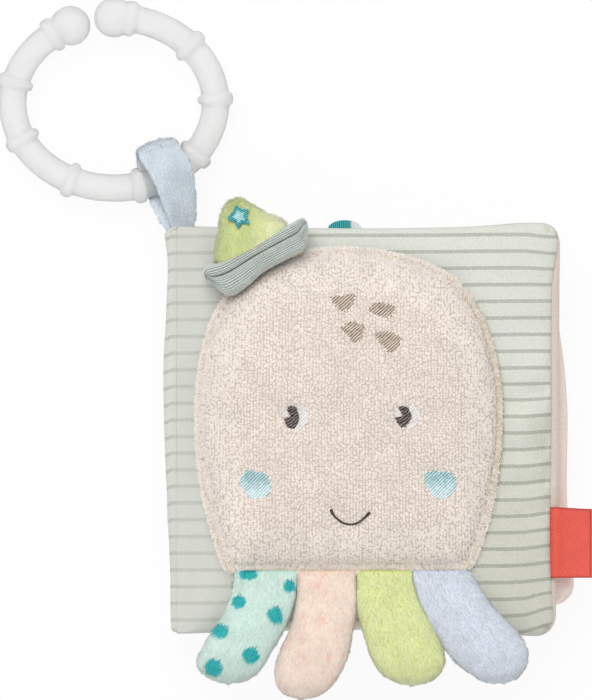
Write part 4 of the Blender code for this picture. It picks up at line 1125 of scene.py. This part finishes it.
def add_loops():
    """Rows of terry loops, each a small bead along its column."""
    rng = np.random.default_rng(5)
    places, way = loop_places(rng)
    count = len(places)
    normal = dome_normals(places)
    swirl = 0.9 * noise(places, 5.5, 52) + rng.normal(0, 0.50, count)
    way = unit(way + normal * rng.normal(0, 0.32, count)[:, None]
               + unit(np.cross(way, normal)) * swirl[:, None])
    side = unit(np.cross(way, normal))
    up = unit(np.cross(side, way))
    size = rng.uniform(0.8, 1.2, (count, 3)) * LOOP_HALF_SIZES
    centre = places + normal * rng.normal(0.12, 0.09, count)[:, None]
    centre[:, :2] += rng.normal(0, 0.12, (count, 2))
    share = head_share(places[:, 0], places[:, 1])
    # Painted light: the loops are painted lighter towards the pad's edge, and more at its left, where the
    # dome slopes steeply.
    left = smoothstep(-30, -42, places[:, 0])
    painted_light_near_rim = 0.32 * smoothstep(0.68, 0.98, share) + 0.62 * smoothstep(0.84, 0.97, share) * left
    verts = [centre - way * size[:, :1], centre + way * size[:, :1]]
    # Each bead is painted lighter on top and darker underneath: painted light and shade.
    tips = [0.45 + painted_light_near_rim, 0.45 + painted_light_near_rim]
    for k in range(6):
        angle = math.radians(90 + 60 * k)
        verts.append(centre + side * size[:, 1:2] * math.cos(angle) + up * size[:, 2:] * math.sin(angle))
        tips.append(0.5 + 0.5 * math.sin(angle) + painted_light_near_rim)
    base = np.arange(count)[:, None] * 8
    tris = []
    for k in range(6):
        a, b = 2 + k, 2 + (k + 1) % 6
        tris += [base + np.array((0, a, b)), base + np.array((1, b, a))]
    layers = {"tip": np.stack(tips, axis=1), "tone": np.repeat(rng.random(count), 8)}
    piece = build("head_loops", "front_cover", TERRY, np.stack(verts, axis=1).reshape(-1, 3),
                  [np.concatenate(tris)], layers, recalc=False)
    soften(piece, np.repeat(normal, 8, axis=0), 0.6)
    stand_for(piece)


def add_head_border():
    """The stitched edge of the pad: close ridges of thread over a soft cord."""
    edge = closed_curve(HEAD_EDGE[::6], BORDER_STEPS)
    along = np.roll(edge, -1, axis=0) - np.roll(edge, 1, axis=0)
    outward = facing_out(unit(np.stack((along[:, 1], -along[:, 0]), axis=-1)), edge, HEAD_CENTRE)
    place = np.arange(BORDER_STEPS) * BORDER_STEP
    reach = BORDER_RADIUS + (0.16 * flat_noise(place, 0.34, 60) + 0.10 * flat_noise(place, 1.3, 61))
    rings = []
    for angle in np.radians(np.linspace(-70, 205, 14)):
        flat = edge - outward * BORDER_RADIUS + outward * reach[:, None] * math.cos(angle)
        rings.append(raised(flat, BORDER_Z + reach * math.sin(angle)))
    numbers = np.arange(len(rings) * BORDER_STEPS).reshape(len(rings), -1)
    faces = quads(np.vstack((numbers, numbers[:1])), wrap=True)
    tip = np.repeat(np.sin(np.linspace(0.3, 2.8, len(rings))), BORDER_STEPS)
    piece = build("head_border", "front_cover", BORDER, np.concatenate(rings), [faces], {"tip": tip})
    stand_for(piece)


def add_head_fluff():
    """Loose pile at the pad's edge, thick at the left, top and bottom."""
    rng = np.random.default_rng(8)
    index = rng.integers(0, len(HEAD_EDGE), FLUFF_COUNT)
    rightness = smoothstep(0.55, 0.9, np.cos(EDGE_ANGLE[index] - 0.15))
    index = index[rng.random(FLUFF_COUNT) > rightness * 0.97]
    count = len(index)
    share = 1 - rng.random(count) ** 1.2 * 0.10
    flat = HEAD_CENTRE + EDGE_AWAY[index] * share[:, None]
    bottom = smoothstep(-0.78, -0.9, EDGE_AWAY[index, 1] / HEAD_HALF[1])
    z = HEAD_BASE + 0.9 + 1.3 * rng.random(count) * (1 - 0.3 * bottom)
    z += np.clip((0.97 - share) / 0.05, 0, 1) * 1.9
    outward = unit(EDGE_AWAY[index])
    direction = raised(outward, rng.uniform(0.1, 1.0, count))
    direction[:, :2] += rng.normal(0, 0.45, (count, 2))
    piece = tufts("head_fluff", "front_cover", FLUFF, raised(flat, z), unit(direction),
                  unit(raised(outward * 0.2, 1.0)), rng.uniform(0.55, 1.1, count), 0.40, rng)
    stand_for(piece)


def add_stitched(name, look, node, outlines, lift, height):
    """Satin stitches that fill outlines on the dome, ragged where the threads end."""
    verts, faces = [], []
    shares = np.append(np.sin(np.linspace(0.04, math.pi / 2, 12)), 0.995)
    numbers = np.arange(len(shares) * STITCH_STEPS).reshape(len(shares), -1)
    for outline in outlines:
        edge = closed_curve(outline, STITCH_STEPS)
        middle = np.mean(edge, axis=0)
        ragged = 0.14 * flat_noise(edge @ np.array((-0.8, 1.0)), 0.34, 47)[:, None]
        edge = edge + unit(edge - middle) * ragged
        for share in shares[:-1]:
            swell = height * math.sqrt(max(1 - share**4, 0))
            verts.append(on_dome(middle + (edge - middle) * share) + UP * (lift + swell))
        verts.append(on_dome(middle + (edge - middle) * shares[-1]) + UP * (lift - 0.35))
        faces += [quads(numbers, wrap=True), numbers[:1], numbers[-1:, ::-1]]
        numbers = numbers + numbers.size
    verts = np.concatenate(verts)
    top, bottom = verts[:, 1].max(), verts[:, 1].min()
    low = smoothstep(0.15, 0.85, (top - verts[:, 1]) / (top - bottom))
    stand_for(build(name, "front_cover", look, verts, faces, {"low": low}), node)


def add_eye_and_cheek(side, dark, white, spark, radius, cheek):
    """One eye's dark thread, the glint and the white beside it, and the cheek below."""
    glint = [spark + radius * np.array((math.cos(angle), math.sin(angle))) for angle in full_turn(9)]
    for part, node, look, slot, outlines, lift, height in (
        ("eye", "eye", DARK, "dark_thread", [dark], 0.30, 0.45),
        ("glint", "eye_glint", WHITE, "white_thread", [glint, white], 0.12, 0.42),
        ("cheek", "cheek", AQUA, "aqua_thread", [cheek], 0.10, 0.62),
    ):
        add_stitched(f"{side}_{part}_stitches", look, f"{side}_{node}", outlines, lift, height)


def swept(line, side, up, wide, high):
    """Rings round a line, from how far each of their points lies to the side and up."""
    return line[:, None] + side[:, None] * wide[..., None] + up[:, None] * high[..., None]


def add_mouth():
    """A thread laid along the smile, thicker at its ends."""
    fine = spline(np.arange(len(MOUTH)), MOUTH, np.linspace(0, len(MOUTH) - 1, 200))
    line = on_dome(evenly(fine, 60)) + UP * MOUTH_LIFT
    way = unit(np.gradient(line, axis=0))
    side = unit(np.cross(way, UP))
    t = np.linspace(-1, 1, len(line))
    size = MOUTH_RADIUS * (1 + 1.4 * np.abs(t) ** 7 + 0.18 * flat_noise(t * 30, 2.2, 48))
    size = (size * np.sqrt(np.maximum(1 - np.abs(t) ** 30, 0.05)))[:, None]
    angles = full_turn(12)
    rings = swept(line, side, np.cross(side, way), np.cos(angles) * size, np.sin(angles) * size)
    stand_for(tube("mouth_stitches", "front_cover", MOUTH_THREAD, rings), "mouth")


def add_head():
    """The padded head with its border, its fluff and its embroidery."""
    add_head_cloth()
    add_loops()
    add_head_border()
    add_head_fluff()
    add_eye_and_cheek("left", LEFT_EYE, LEFT_WHITE, LEFT_SPARK, LEFT_SPARK_RADIUS, LEFT_CHEEK)
    add_eye_and_cheek("right", RIGHT_EYE, RIGHT_WHITE, RIGHT_SPARK, RIGHT_SPARK_RADIUS, RIGHT_CHEEK)
    for number, spot in enumerate(SPOTS, 1):
        name, node = f"spot_{number}_stitches", f"head_spot_{number}"
        add_stitched(name, TAUPE, node, [spot], 0.10, 0.45)
    add_mouth()


# Legs and hat

# The legs' left and right outlines, from the head to the tip, and half their thickness along them
LEGS = {
    "mint": (
        ((237, 570), (234, 590), (226, 610), (213, 632), (202, 650), (198, 662), (204, 673), (217, 680),
         (228, 682)),
        ((297, 570), (296, 590), (291, 610), (281, 634), (271, 652), (264, 664), (255, 674), (243, 680),
         (228, 682)),
    ),
    "peach": (
        ((299, 570), (298.5, 588), (296, 608), (290, 630), (281, 650), (275, 670), (278, 685), (287, 694),
         (301, 698)),
        ((355, 570), (356, 590), (355, 612), (352, 634), (347, 656), (337, 677), (327, 689), (314, 696),
         (301, 698)),
    ),
    "lime": (
        ((357, 570), (357, 588), (358, 608), (363, 630), (370, 653), (379, 669), (388, 677), (399, 682),
         (412, 684)),
        ((411, 570), (415, 590), (424, 611), (436, 632), (443, 650), (443, 665), (436, 676), (425, 682),
         (412, 684)),
    ),
    "blue": (
        ((412, 570), (415, 588), (425, 613), (438, 637), (455, 660), (470, 672), (482, 679), (493, 682),
         (503, 682)),
        ((467.5, 569.5), (476, 583), (489, 602), (508, 623), (523, 639), (527.5, 653), (525, 667),
         (516, 677), (503, 682)),
    ),
}
LEG_HEIGHTS = (1.25, 2.5, 3.7, 4.1, 4.1, 3.7, 2.9, 1.6, 0.1)
LEG_LOOKS = {"mint": MINT, "peach": PEACH, "lime": LIME, "blue": BLUE}
LIMB_ROWS = 90
LIMB_COLUMNS = 96
ROOT_SINK = 0.1

# The mint leg's dots: middle, half width and half height, in pixels
MINT_DOTS = (
    (249, 573, 10, 5), (290, 584, 6.5, 6.5), (240, 600, 7, 7), (276, 613, 7.5, 9), (222, 629, 8.5, 8),
    (252, 653, 9, 8.5), (214, 665, 10, 9),
)


def limb(left, right, heights, base, roundness, root, folds, seed):
    """Rings of a soft plush form between two outlines. Folds run out from its sewn end, the root."""
    left, right = np.array(left, float), np.array(right, float)
    knots = lengths_along((left + right) / 2) + 0.35 * lengths_along((right - left) / 2)
    along = knots[-1] * np.sin(np.linspace(0, math.pi / 2, LIMB_ROWS))
    first, second = spline(knots, left, along), spline(knots, right, along)
    height = np.maximum(spline(knots, heights, along), 0.05)[:, None]
    angles = full_turn(LIMB_COLUMNS)
    across = signed_power(np.cos(angles), 2 / roundness)
    rise = signed_power(np.sin(angles), 2 / roundness)
    middle, half = (first + second) / 2, (second - first) / 2
    rings = raised(middle[:, None] + half[:, None] * across[:, None], base + height * (1 + rise))
    gathers = flat_noise(np.tile(angles * 4.0, (LIMB_ROWS, 1)), 1.0, seed)
    size = 1 + folds * gathers * np.exp(-along / root)[:, None] + 0.025 * noise(rings, 6, seed)
    return resized(rings, size[..., None])


def scatter(rings, count, seed):
    """Random places on rings: a way to read a grid at those places, and the generator."""
    rng = np.random.default_rng(seed)
    following = np.roll(rings, -1, axis=1)
    a, b, c, d = rings[:-1], rings[1:], following[1:], following[:-1]
    area = (np.linalg.norm(np.cross(b - a, d - a), axis=-1)
            + np.linalg.norm(np.cross(b - c, d - c), axis=-1)) / 2
    total = np.cumsum(area.ravel())
    picks = np.searchsorted(total, (np.arange(count) + rng.random(count)) / count * total[-1])
    row, column = np.divmod(np.minimum(picks, area.size - 1), area.shape[1])
    after = (column + 1) % rings.shape[1]
    s, t = rng.random(count)[:, None], rng.random(count)[:, None]

    def blended(grid):
        """The grid's values at the places."""
        return ((grid[row, column] * (1 - s) + grid[row + 1, column] * s) * (1 - t)
                + (grid[row, after] * (1 - s) + grid[row + 1, after] * s) * t)

    return blended, rng


def pile(name, body, look, rings, count, length, width, seed, lie, comb=1, clumps=0.5, stand=1.0,
         print_and_painted_light=None):
    """Cut pile on rings, combed along them. comb is 1 towards the last ring and -1 towards the first.

    stand is the most of a tuft's length that points away from the cloth.
    """
    blended, rng = scatter(rings, count, seed)
    roots = blended(rings)
    middle = blended(np.repeat(rings.mean(axis=1, keepdims=True), rings.shape[1], axis=1))
    normals = facing_out(unit(blended(grid_normals(rings, wrap=True))), roots, middle)
    way = unit(blended(np.gradient(rings, axis=0))) * comb
    lean = lie + 0.30 * noise(roots, 1.5, seed)
    clump = np.stack([noise(roots, 1.15, seed + k / 3) for k in (1, 2, 3)], axis=-1)
    direction = unit(normals * (1 - lean)[:, None] + way * (lean * 1.2)[:, None] + clumps * clump
                     + rng.normal(0, 0.16, (count, 3)))
    short = np.maximum(0.12 - np.sum(direction * normals, axis=1), 0)
    direction = unit(direction + normals * short[:, None] * 1.5)
    over = np.maximum(np.sum(direction * normals, axis=1) - stand, 0)
    direction = unit(direction - normals * over[:, None])
    piece = tufts(name, body, look, roots - normals * ROOT_SINK, direction, normals,
                  length * rng.uniform(0.6, 1.15, count), width, rng, {"print_and_painted_light": print_and_painted_light(roots)} if print_and_painted_light else {})
    stand_for(piece)
    return piece


def add_plush(cloth, cloth_node, filling, filling_node, body, look, skin, inside, last, print_and_painted_light):
    """A plush form's cloth, and its filling, which is so large a share of it and ends at its last ring."""
    values = {"print_and_painted_light": print_and_painted_light(skin.reshape(-1, 3))} if print_and_painted_light else {}
    stand_for(tube(cloth, body, look, skin, CLOTH, values), cloth_node)
    fill = tube(filling, body, WADDING, resized(skin, inside)[4:last])
    stand_for(fill, filling_node)


def mint_dots(points):
    """1 within a dot of the mint leg's print, 0 elsewhere and on its underside."""
    found = np.zeros(len(points))
    ragged = 0.08 * noise(points, 0.7, 71)
    for x, y, half_width, half_height in MINT_DOTS:
        centre = photo(x, y)
        away = np.hypot((points[:, 0] - centre[0]) / (half_width * PIXEL),
                        (points[:, 1] - centre[1]) / (half_height * PIXEL))
        found = np.maximum(found, 1 - smoothstep(0.85, 1.1, away + ragged))
    under = 2.6 - 1.3 * smoothstep(-41.5, -39.0, points[:, 1])
    return found * smoothstep(under - 0.6, under + 0.6, points[:, 2] - HEAD_BASE)


def add_leg(number, name):
    """One leg: its cloth, its filling and its pile."""
    left, right = (traced(*side) for side in LEGS[name])
    skin = limb(left, right, LEG_HEIGHTS, HEAD_BASE + 0.05, 2.2, root=4.0, folds=0.10, seed=80 + number)
    body, node, look, slot = "leg_" + name, name + "_leg", LEG_LOOKS[name], name + "_plush"
    print_and_painted_light = mint_dots if name == "mint" else None
    add_plush(name + "_sock", node, name + "_fill", node + "_stuffing", body, look, skin,
              inside=0.72, last=80, print_and_painted_light=print_and_painted_light)
    pile(name + "_pile", body, look, skin, 17000, length=1.50, width=0.42, seed=90 + number, lie=0.80,
         clumps=0.40, stand=0.34, print_and_painted_light=print_and_painted_light)


def add_legs():
    """The four legs, from the left to the right."""
    for number, name in enumerate(LEGS):
        add_leg(number, name)


# Hat in its own frame: u across, v towards the tip, both from the middle of the brim


def hat_px(*pixels):
    """Places in the hat's frame from pixels of the photograph."""
    return np.array(pixels) * PIXEL


HAT_TURN = math.radians(29)
HAT_TILT = math.radians(-4)
HAT_MIDDLE = photo(256, 256)
HAT_Z = 33.2
CONE_LEFT = hat_px(
    (-36.5, 4), (-35.6, 16), (-29, 24.5), (-22, 33), (-16.5, 41), (-12, 48.5), (-6.5, 54), (-0.5, 57.3),
    (8, 59),
)
CONE_RIGHT = hat_px(
    (41, 4), (39.8, 15), (33.2, 25), (26.8, 34.5), (21.8, 42.5), (17.4, 50), (15.4, 54), (12.5, 57.3),
    (8, 59),
)
CONE_HEIGHTS = (3.4, 3.6, 3.5, 3.2, 2.9, 2.5, 2.1, 1.4, 0.2)
BRIM_LOW = hat_px(
    (-54, 2.5), (-51, -5), (-42, -22.8), (-22, -23.2), (0, -18.6), (32, -18.8), (45, -18.5), (55, -8),
    (60.5, 2.5),
)
BRIM_HIGH = hat_px(
    (-54, 3.5), (-53.4, 9.8), (-47, 14), (-34, 10.4), (0, 9.8), (32, 9.6), (48, 9.4), (58.6, 9.1),
    (60.5, 3.5),
)
BRIM_ROWS = 240
BRIM_COLUMNS = 420
BRIM_MIDDLE = 4.3
BRIM_UNDER = 4.1
BRIM_CREASE = 0.60
RIB_PITCH = 0.60
STITCH_PITCH = 0.8
STAR = traced(
    (236.4, 205.8), (242.5, 209.4), (248.6, 210.2), (247.2, 217.2), (249.8, 224.6), (243.2, 223.2),
    (238.6, 228.4), (234.6, 222.4), (227.8, 218.8), (232.8, 212.2),
)
STAR_CENTRE = photo(239.2, 216.6)
STAR_REACH = 3.2
STAR_SECTION = ((1.0, -0.5), (1.0, 0.0), (0.9, 0.22), (0.6, 0.34), (0.25, 0.36))


def hat_place(points):
    """From the hat's own frame, in millimetres, to the book's."""
    u, v, w = np.moveaxis(points, -1, 0)
    v, w = v * math.cos(HAT_TILT) - w * math.sin(HAT_TILT), v * math.sin(HAT_TILT) + w * math.cos(HAT_TILT)
    return points_of(HAT_MIDDLE[0] + u * math.cos(HAT_TURN) - v * math.sin(HAT_TURN),
                     HAT_MIDDLE[1] + u * math.sin(HAT_TURN) + v * math.cos(HAT_TURN), HAT_Z + w)


def hump(share, start, end):
    """A round hump from start to end, and 0 outside them."""
    middle, half = (start + end) / 2, (end - start) / 2
    return np.sqrt(np.maximum(1 - ((share - middle) / half) ** 2, 0))


def brim_grid():
    """The cuff's section round it, row by row along it: two rolls with a crease between them."""
    t = (1 - np.cos(np.linspace(0, math.pi, BRIM_ROWS))) / 2
    knots = np.linspace(0, 1, len(BRIM_LOW))
    start, end = spline(knots, BRIM_LOW, t), spline(knots, BRIM_HIGH, t)
    around = full_turn(BRIM_COLUMNS)
    share = (1 - np.cos(around)) / 2
    rolls = np.maximum(hump(share, 0, BRIM_CREASE), hump(share, BRIM_CREASE, 1) * 0.86)
    split = spline(knots, smoothstep(0.10, 0.24, knots), t)[:, None]
    profile = 5.4 + 3.2 * (1 + (rolls - 1) * split)
    rim = np.sqrt(np.maximum(np.sin(around), 0))
    top = BRIM_MIDDLE + (profile - BRIM_MIDDLE) * np.minimum(rim * 1.25, 1)
    under = BRIM_MIDDLE - BRIM_UNDER * np.sqrt(np.maximum(-np.sin(around), 0))
    body = np.sqrt(np.maximum(np.sin(np.linspace(0, math.pi, BRIM_ROWS)), 0.0)) ** 0.8
    z = BRIM_MIDDLE + (np.where(around < math.pi, top, under) - BRIM_MIDDLE) * (0.25 + 0.75 * body[:, None])
    return raised(start[:, None] + (end - start)[:, None] * share[:, None], z)


def add_brim():
    """The ribbed cuff: a band folded up on itself, with knitted stitches along each rib."""
    grid = brim_grid()
    ribs = lengths_along(grid[BRIM_ROWS // 2]) / RIB_PITCH
    stitches = lengths_along(grid[:, 100, :2]) / STITCH_PITCH
    middle = grid.mean(axis=1, keepdims=True)
    normal = facing_out(grid_normals(grid, wrap=True), grid, middle)
    knots = np.abs(np.sin(math.pi * (stitches[:, None] + 0.5 * (np.floor(ribs) % 2))))
    relief = np.abs(np.sin(math.pi * ribs)) * (0.17 + 0.12 * knots)
    grid = grid + normal * (relief - 0.11 + 0.10 * noise(grid, 3.5, 101))[..., None]
    values = {"rib": np.tile(ribs, BRIM_ROWS), "row": np.repeat(stitches, BRIM_COLUMNS)}
    piece = tube("brim_knit", "hat", KNIT, hat_place(grid), None, values)
    stand_for(piece, "hat_brim")


def hat_painted_light(points):
    """1 towards the hat's right, where its pile is painted paler: painted light."""
    return smoothstep(-34, -23, points[:, 0])


def add_star(skin):
    """A small embroidered star near the hat's tip, teal with a pale middle."""
    above = skin.reshape(-1, 3)
    near = np.linalg.norm(above[:, :2] - STAR_CENTRE, axis=1) < STAR_REACH
    near = above[near & (above[:, 2] > np.median(above[:, 2]))]
    sides = np.column_stack((near[:, :2] - STAR_CENTRE, np.ones(len(near))))
    plane = np.linalg.lstsq(sides, near[:, 2], rcond=None)[0]
    for name, node, look, slot, size, ragged, lift in (
        ("star_stitches", "hat_star", TEAL, "teal_thread", 1.0, 0.24, 1.3),
        ("star_middle", None, PALE_AQUA, "aqua_thread", 0.58, 0.34, 1.6),
    ):
        edge = closed_curve([STAR_CENTRE + (point - STAR_CENTRE) * size for point in STAR], 80)
        ends = flat_noise(np.arange(len(edge)) * 0.5, 0.5, 112) * ragged
        edge = edge + unit(edge - STAR_CENTRE) * ends[:, None]
        rings = []
        for share, rise in STAR_SECTION:
            away = (edge - STAR_CENTRE) * share
            rings.append(raised(STAR_CENTRE + away, plane[2] + away @ plane[:2] + lift + rise))
        stand_for(tube(name, "hat", look, np.stack(rings)), node)


def add_hat():
    """The plush cone in its ribbed cuff, with its star."""
    add_brim()
    skin = hat_place(limb(CONE_LEFT, CONE_RIGHT, CONE_HEIGHTS, 0.7, 2.0, root=3.0, folds=0.03, seed=110))
    # The cone's right side is painted paler: painted light.
    add_plush("hat_plush", "hat_cone", "hat_fill", "hat_stuffing", "hat", HAT_LIME, skin,
              inside=0.7, last=78, print_and_painted_light=hat_painted_light)
    pile("hat_pile", "hat", HAT_LIME, skin, 14000, length=1.45, width=0.30, seed=111,
         lie=0.55, comb=-1, clumps=0.3, print_and_painted_light=hat_painted_light)
    add_star(skin)


# Label

# The section of the folded tape, from its upper end over the fold to its lower end: (x, z)
LABEL_SECTION = (
    (49.9, 27.2), (50.5, 27.75), (51.3, 27.95), (52.2, 27.6), (53.4, 27.15), (55.5, 26.85), (58.0, 26.75),
    (60.0, 26.6), (60.55, 26.1), (60.0, 25.55), (58.0, 25.5), (55.5, 25.6), (53.4, 25.9), (52.2, 26.35),
    (51.3, 26.85), (50.5, 26.9), (49.9, 26.6),
)
LABEL_TOP, LABEL_BOTTOM = -20.8, -39.9
LABEL_FOLD = 60.6
LABEL_THICK = 0.4


def add_label():
    """The side label: a tape folded double over the lining's roll, bare on both faces."""
    knots = np.linspace(0, 1, len(LABEL_SECTION))
    x, z = evenly(spline(knots, LABEL_SECTION, np.linspace(0, 1, 130)), 130).T
    y = np.linspace(LABEL_TOP, LABEL_BOTTOM, 90)[:, None]
    slope = -0.5 * smoothstep(50, 60.5, x) * smoothstep(LABEL_BOTTOM, LABEL_TOP, y)
    wave = 0.22 * flat_noise(y, 7, 121) * smoothstep(52, 60, x)
    border = np.minimum(y - LABEL_BOTTOM, LABEL_TOP - y)
    edge = 1 - smoothstep(0.25, 0.75, np.minimum(border, np.abs(LABEL_FOLD - x) * 1.2))
    grid = points_of(x, y + slope, z + wave)
    piece = sheet_shell("label_tape", None, RED, grid, LABEL_THICK, {"edge": edge})
    stand_for(piece, "side_label")
    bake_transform(piece)


# Ring and loop

COLLARS = 9
COLLAR_START = 9.2
COLLAR_STEP = 39.2
COLLAR_HALF = 1.45
COLLAR_RISE = 1.15
BALL = 5.4

# The strap's left and right edges from above and its height, from the seam round the ring and back
LOOP_STATIONS = (
    ((166, 231), (192.5, 231), 8.9), ((160, 221), (193.5, 221), 8.2), ((153, 208), (193.5, 208), 6.4),
    ((147, 194), (192, 194), 3.3), ((142, 180), (190, 180), 1.4), ((138, 167), (184, 162), 1.0),
    ((136, 158), (178, 149), 1.9), ((136, 153.5), (176, 143), 4.5), ((136.4, 151.5), (176, 140.4), 6.3),
    ((137, 152.5), (177, 141.2), 8.5), ((139, 157), (180, 146), 10.6), ((144, 165), (187, 157), 11.4),
    ((152, 178), (192.8, 170), 11.4), ((158, 192), (194.8, 187), 11.1), ((163, 206), (195.9, 205), 10.9),
    ((168.5, 219), (195, 219), 10.6), ((172, 231), (192.5, 231), 10.4),
)
LOOP_FOLD = 8
LOOP_THICK = 1.5
LOOP_BOW = 0.9
BOW_WAY = np.array((-0.3, 0.95, 0))


def ring_frame(degrees):
    """Points of the ring's centre line and its direction there, clockwise from above."""
    angle = np.radians(degrees)
    across, along = RING_HALF
    place = points_of(across * np.cos(angle), along * np.sin(angle)) + RING_CENTRE
    return place, unit(points_of(across * np.sin(angle), -along * np.cos(angle)))


def add_ring():
    """The C-ring: a round rod with nine soft collars and a ball at each end."""
    turned = np.linspace(0, RING_SWEEP, 1400)
    place, way = ring_frame(RING_START - turned)
    along = lengths_along(place)
    radius = np.full(len(turned), RING_ROD)
    for number in range(COLLARS):
        middle = np.interp(COLLAR_START + COLLAR_STEP * number, turned, along)
        away = np.abs(along - middle) / COLLAR_HALF
        radius = np.maximum(radius, RING_ROD + COLLAR_RISE * np.clip(1 - away**2.6, 0, 1) ** 0.5)
        radius += 0.12 * np.exp(-((away - 1.1) / 0.35) ** 2)
    for end in (0.0, along[-1]):
        away = np.abs(along - end)
        ball = np.sqrt(np.maximum(BALL**2 - away**2, 0))
        neck = RING_ROD + 0.9 * np.exp(-((away - 5.0) / 1.1) ** 2)
        radius = np.maximum(radius, np.where(away < BALL, ball, neck))
    cap = BALL * np.sin(np.linspace(0.02, math.pi / 2, 14))[:-1]
    out = np.sqrt(BALL**2 - cap**2)[:, None]
    line = np.concatenate((place[0] - way[0] * out, place[::3], (place[-1] + way[-1] * out)[::-1]))
    way = np.concatenate((np.tile(way[0], (len(cap), 1)), way[::3], np.tile(way[-1], (len(cap), 1))))
    size = np.concatenate((cap, radius[::3], cap[::-1]))[:, None]
    angles = full_turn(40)
    up = np.tile(UP, (len(line), 1))
    rings = swept(line, np.cross(UP, way), up, np.cos(angles) * size, np.sin(angles) * size)
    stand_for(tube("ring_plastic", "ring", PLASTIC, rings), "c_ring")


def loop_shade(points):
    """1 where the strap is painted darker, painted shade low on its front layer and at its right."""
    x, y, z = points.T
    painted_hollow_shade = smoothstep(-57, -50, x) * smoothstep(75, 69, y) * smoothstep(6, 9, z)
    return painted_hollow_shade * (0.8 + 0.3 * noise(points, 2.2, 133))


def add_loop():
    """The plush strap: sewn in at the spine's top, round the ring and back."""
    left, right = (np.array([(*photo(*row[side]), row[2]) for row in LOOP_STATIONS]) for side in (0, 1))
    knots = lengths_along((left + right) / 2)
    at = np.linspace(0, knots[-1], 190)
    left, right = spline(knots, left, at), spline(knots, right, at)
    across, line = (right - left) / 2, (left + right) / 2
    normal = unit(np.cross(unit(across), unit(np.gradient(line, axis=0))))
    thick = LOOP_THICK / 2 * (1 - 0.35 * smoothstep(5, 0, np.minimum(at, knots[-1] - at)))
    angles = full_turn(56)
    wide = signed_power(np.cos(angles), 0.75)
    deep = signed_power(np.sin(angles), 0.9)
    fold = np.exp(-((at - knots[LOOP_FOLD]) / 3.0) ** 2)
    bow = LOOP_BOW * (1 - wide**2) * fold[:, None]
    flat = line[:, None] + across[:, None] * wide[:, None]
    rings = flat + normal[:, None] * (thick[:, None] * deep + 0.12 * noise(flat, 3.0, 131))[..., None]
    rings = rings + BOW_WAY * bow[..., None]
    # The strap is painted darker where loop_shade is 1: painted shade.
    strap = tube("loop_strap", None, LOOP_BLUE, rings, None, {"print_and_painted_light": loop_shade(rings.reshape(-1, 3))})
    stand_for(strap, "hanging_loop")
    fluff = pile("loop_pile", None, LOOP_BLUE, rings, 9000, length=0.95, width=0.34, seed=132,
                 lie=0.55, print_and_painted_light=loop_shade)
    for part in (strap, fluff):
        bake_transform(part)


# Stage, light and camera

CAMERA_PLACE = (-0.0190, 0.0216)
CAMERA_HEIGHT = 5.0
SENSOR = 36
FLOOR_HALF = 3.0
FLOOR_Z = -0.0005
FLOOR_GLOW = 0.91
SKY_LIGHT, SKY_SEEN = 0.60, 1.0

# Suns: name, strength, width in degrees and direction
SUNS = (("window", 1.36, 38, (0.14, -0.42, -0.88)), ("fill", 0.25, 60, (-0.05, 0.62, -0.78)))


def floor_look():
    """Pale grey under the lamps, and near white to the camera, with the object's shadow kept."""
    look = Look("floor", 0.9, specular=0.1)
    look.set({"Base Color": (0.93, 0.93, 0.93)})
    paths = look.node("ShaderNodeLightPath").outputs
    seen = look.math("MAXIMUM", paths["Is Camera Ray"], paths["Is Glossy Ray"])
    seen = look.math("MAXIMUM", seen, paths["Is Transmission Ray"])
    glow = look.node("ShaderNodeEmission", {"Strength": 1.0})
    both = {0: look.math("MULTIPLY", seen, FLOOR_GLOW), 1: look.shader.outputs[0], 2: glow.outputs[0]}
    mixed = look.node("ShaderNodeMixShader", both)
    look.feed(look.tree.nodes["Material Output"].inputs["Surface"], mixed.outputs[0])
    return look.material


def add_stage():
    """The floor."""
    mesh = bpy.data.meshes.new("floor")
    made = bmesh.new()
    bmesh.ops.create_grid(made, x_segments=1, y_segments=1, size=FLOOR_HALF)
    made.to_mesh(mesh)
    made.free()
    mesh.materials.append(floor_look())
    floor = linked("floor", mesh)
    floor.location.z = FLOOR_Z


def add_light():
    """A soft white sky, which is brighter to the camera than to the object, and two wide suns."""
    world = bpy.data.worlds.new("studio")
    world.use_nodes = True
    tree = world.node_tree
    sky = tree.nodes["Background"]
    sky.inputs["Color"].default_value = (1, 1, 1, 1)
    paths = tree.nodes.new("ShaderNodeLightPath")
    strength = tree.nodes.new("ShaderNodeMapRange")
    tree.links.new(paths.outputs["Is Camera Ray"], strength.inputs["Value"])
    strength.inputs["To Min"].default_value = SKY_LIGHT
    strength.inputs["To Max"].default_value = SKY_SEEN
    tree.links.new(strength.outputs[0], sky.inputs["Strength"])
    bpy.context.scene.world = world
    for name, energy, width, direction in SUNS:
        lamp = bpy.data.lights.new(name, "SUN")
        lamp.energy = energy
        lamp.angle = math.radians(width)
        placed = linked(name, lamp)
        placed.rotation_mode = "QUATERNION"
        placed.rotation_quaternion = Vector(direction).to_track_quat("-Z", "Y")


def add_camera():
    """A camera straight above, whose frame is the photograph's at the cover's height."""
    lens = bpy.data.cameras.new("camera")
    lens.sensor_width = SENSOR
    lens.lens = SENSOR * (CAMERA_HEIGHT - COVER_Z * MM) / (PHOTO_HEIGHT * PIXEL * MM)
    lens.clip_start, lens.clip_end = 0.1, 20
    camera = linked("camera", lens)
    camera.location = (*CAMERA_PLACE, CAMERA_HEIGHT)
    bpy.context.scene.camera = camera


add_pages()
add_spine()
add_leaf_tape()
add_tab()
add_head()
add_legs()
add_hat()
add_label()
add_ring()
add_loop()
add_stage()
add_light()
add_camera()
bpy.context.scene.view_settings.view_transform = "Standard"
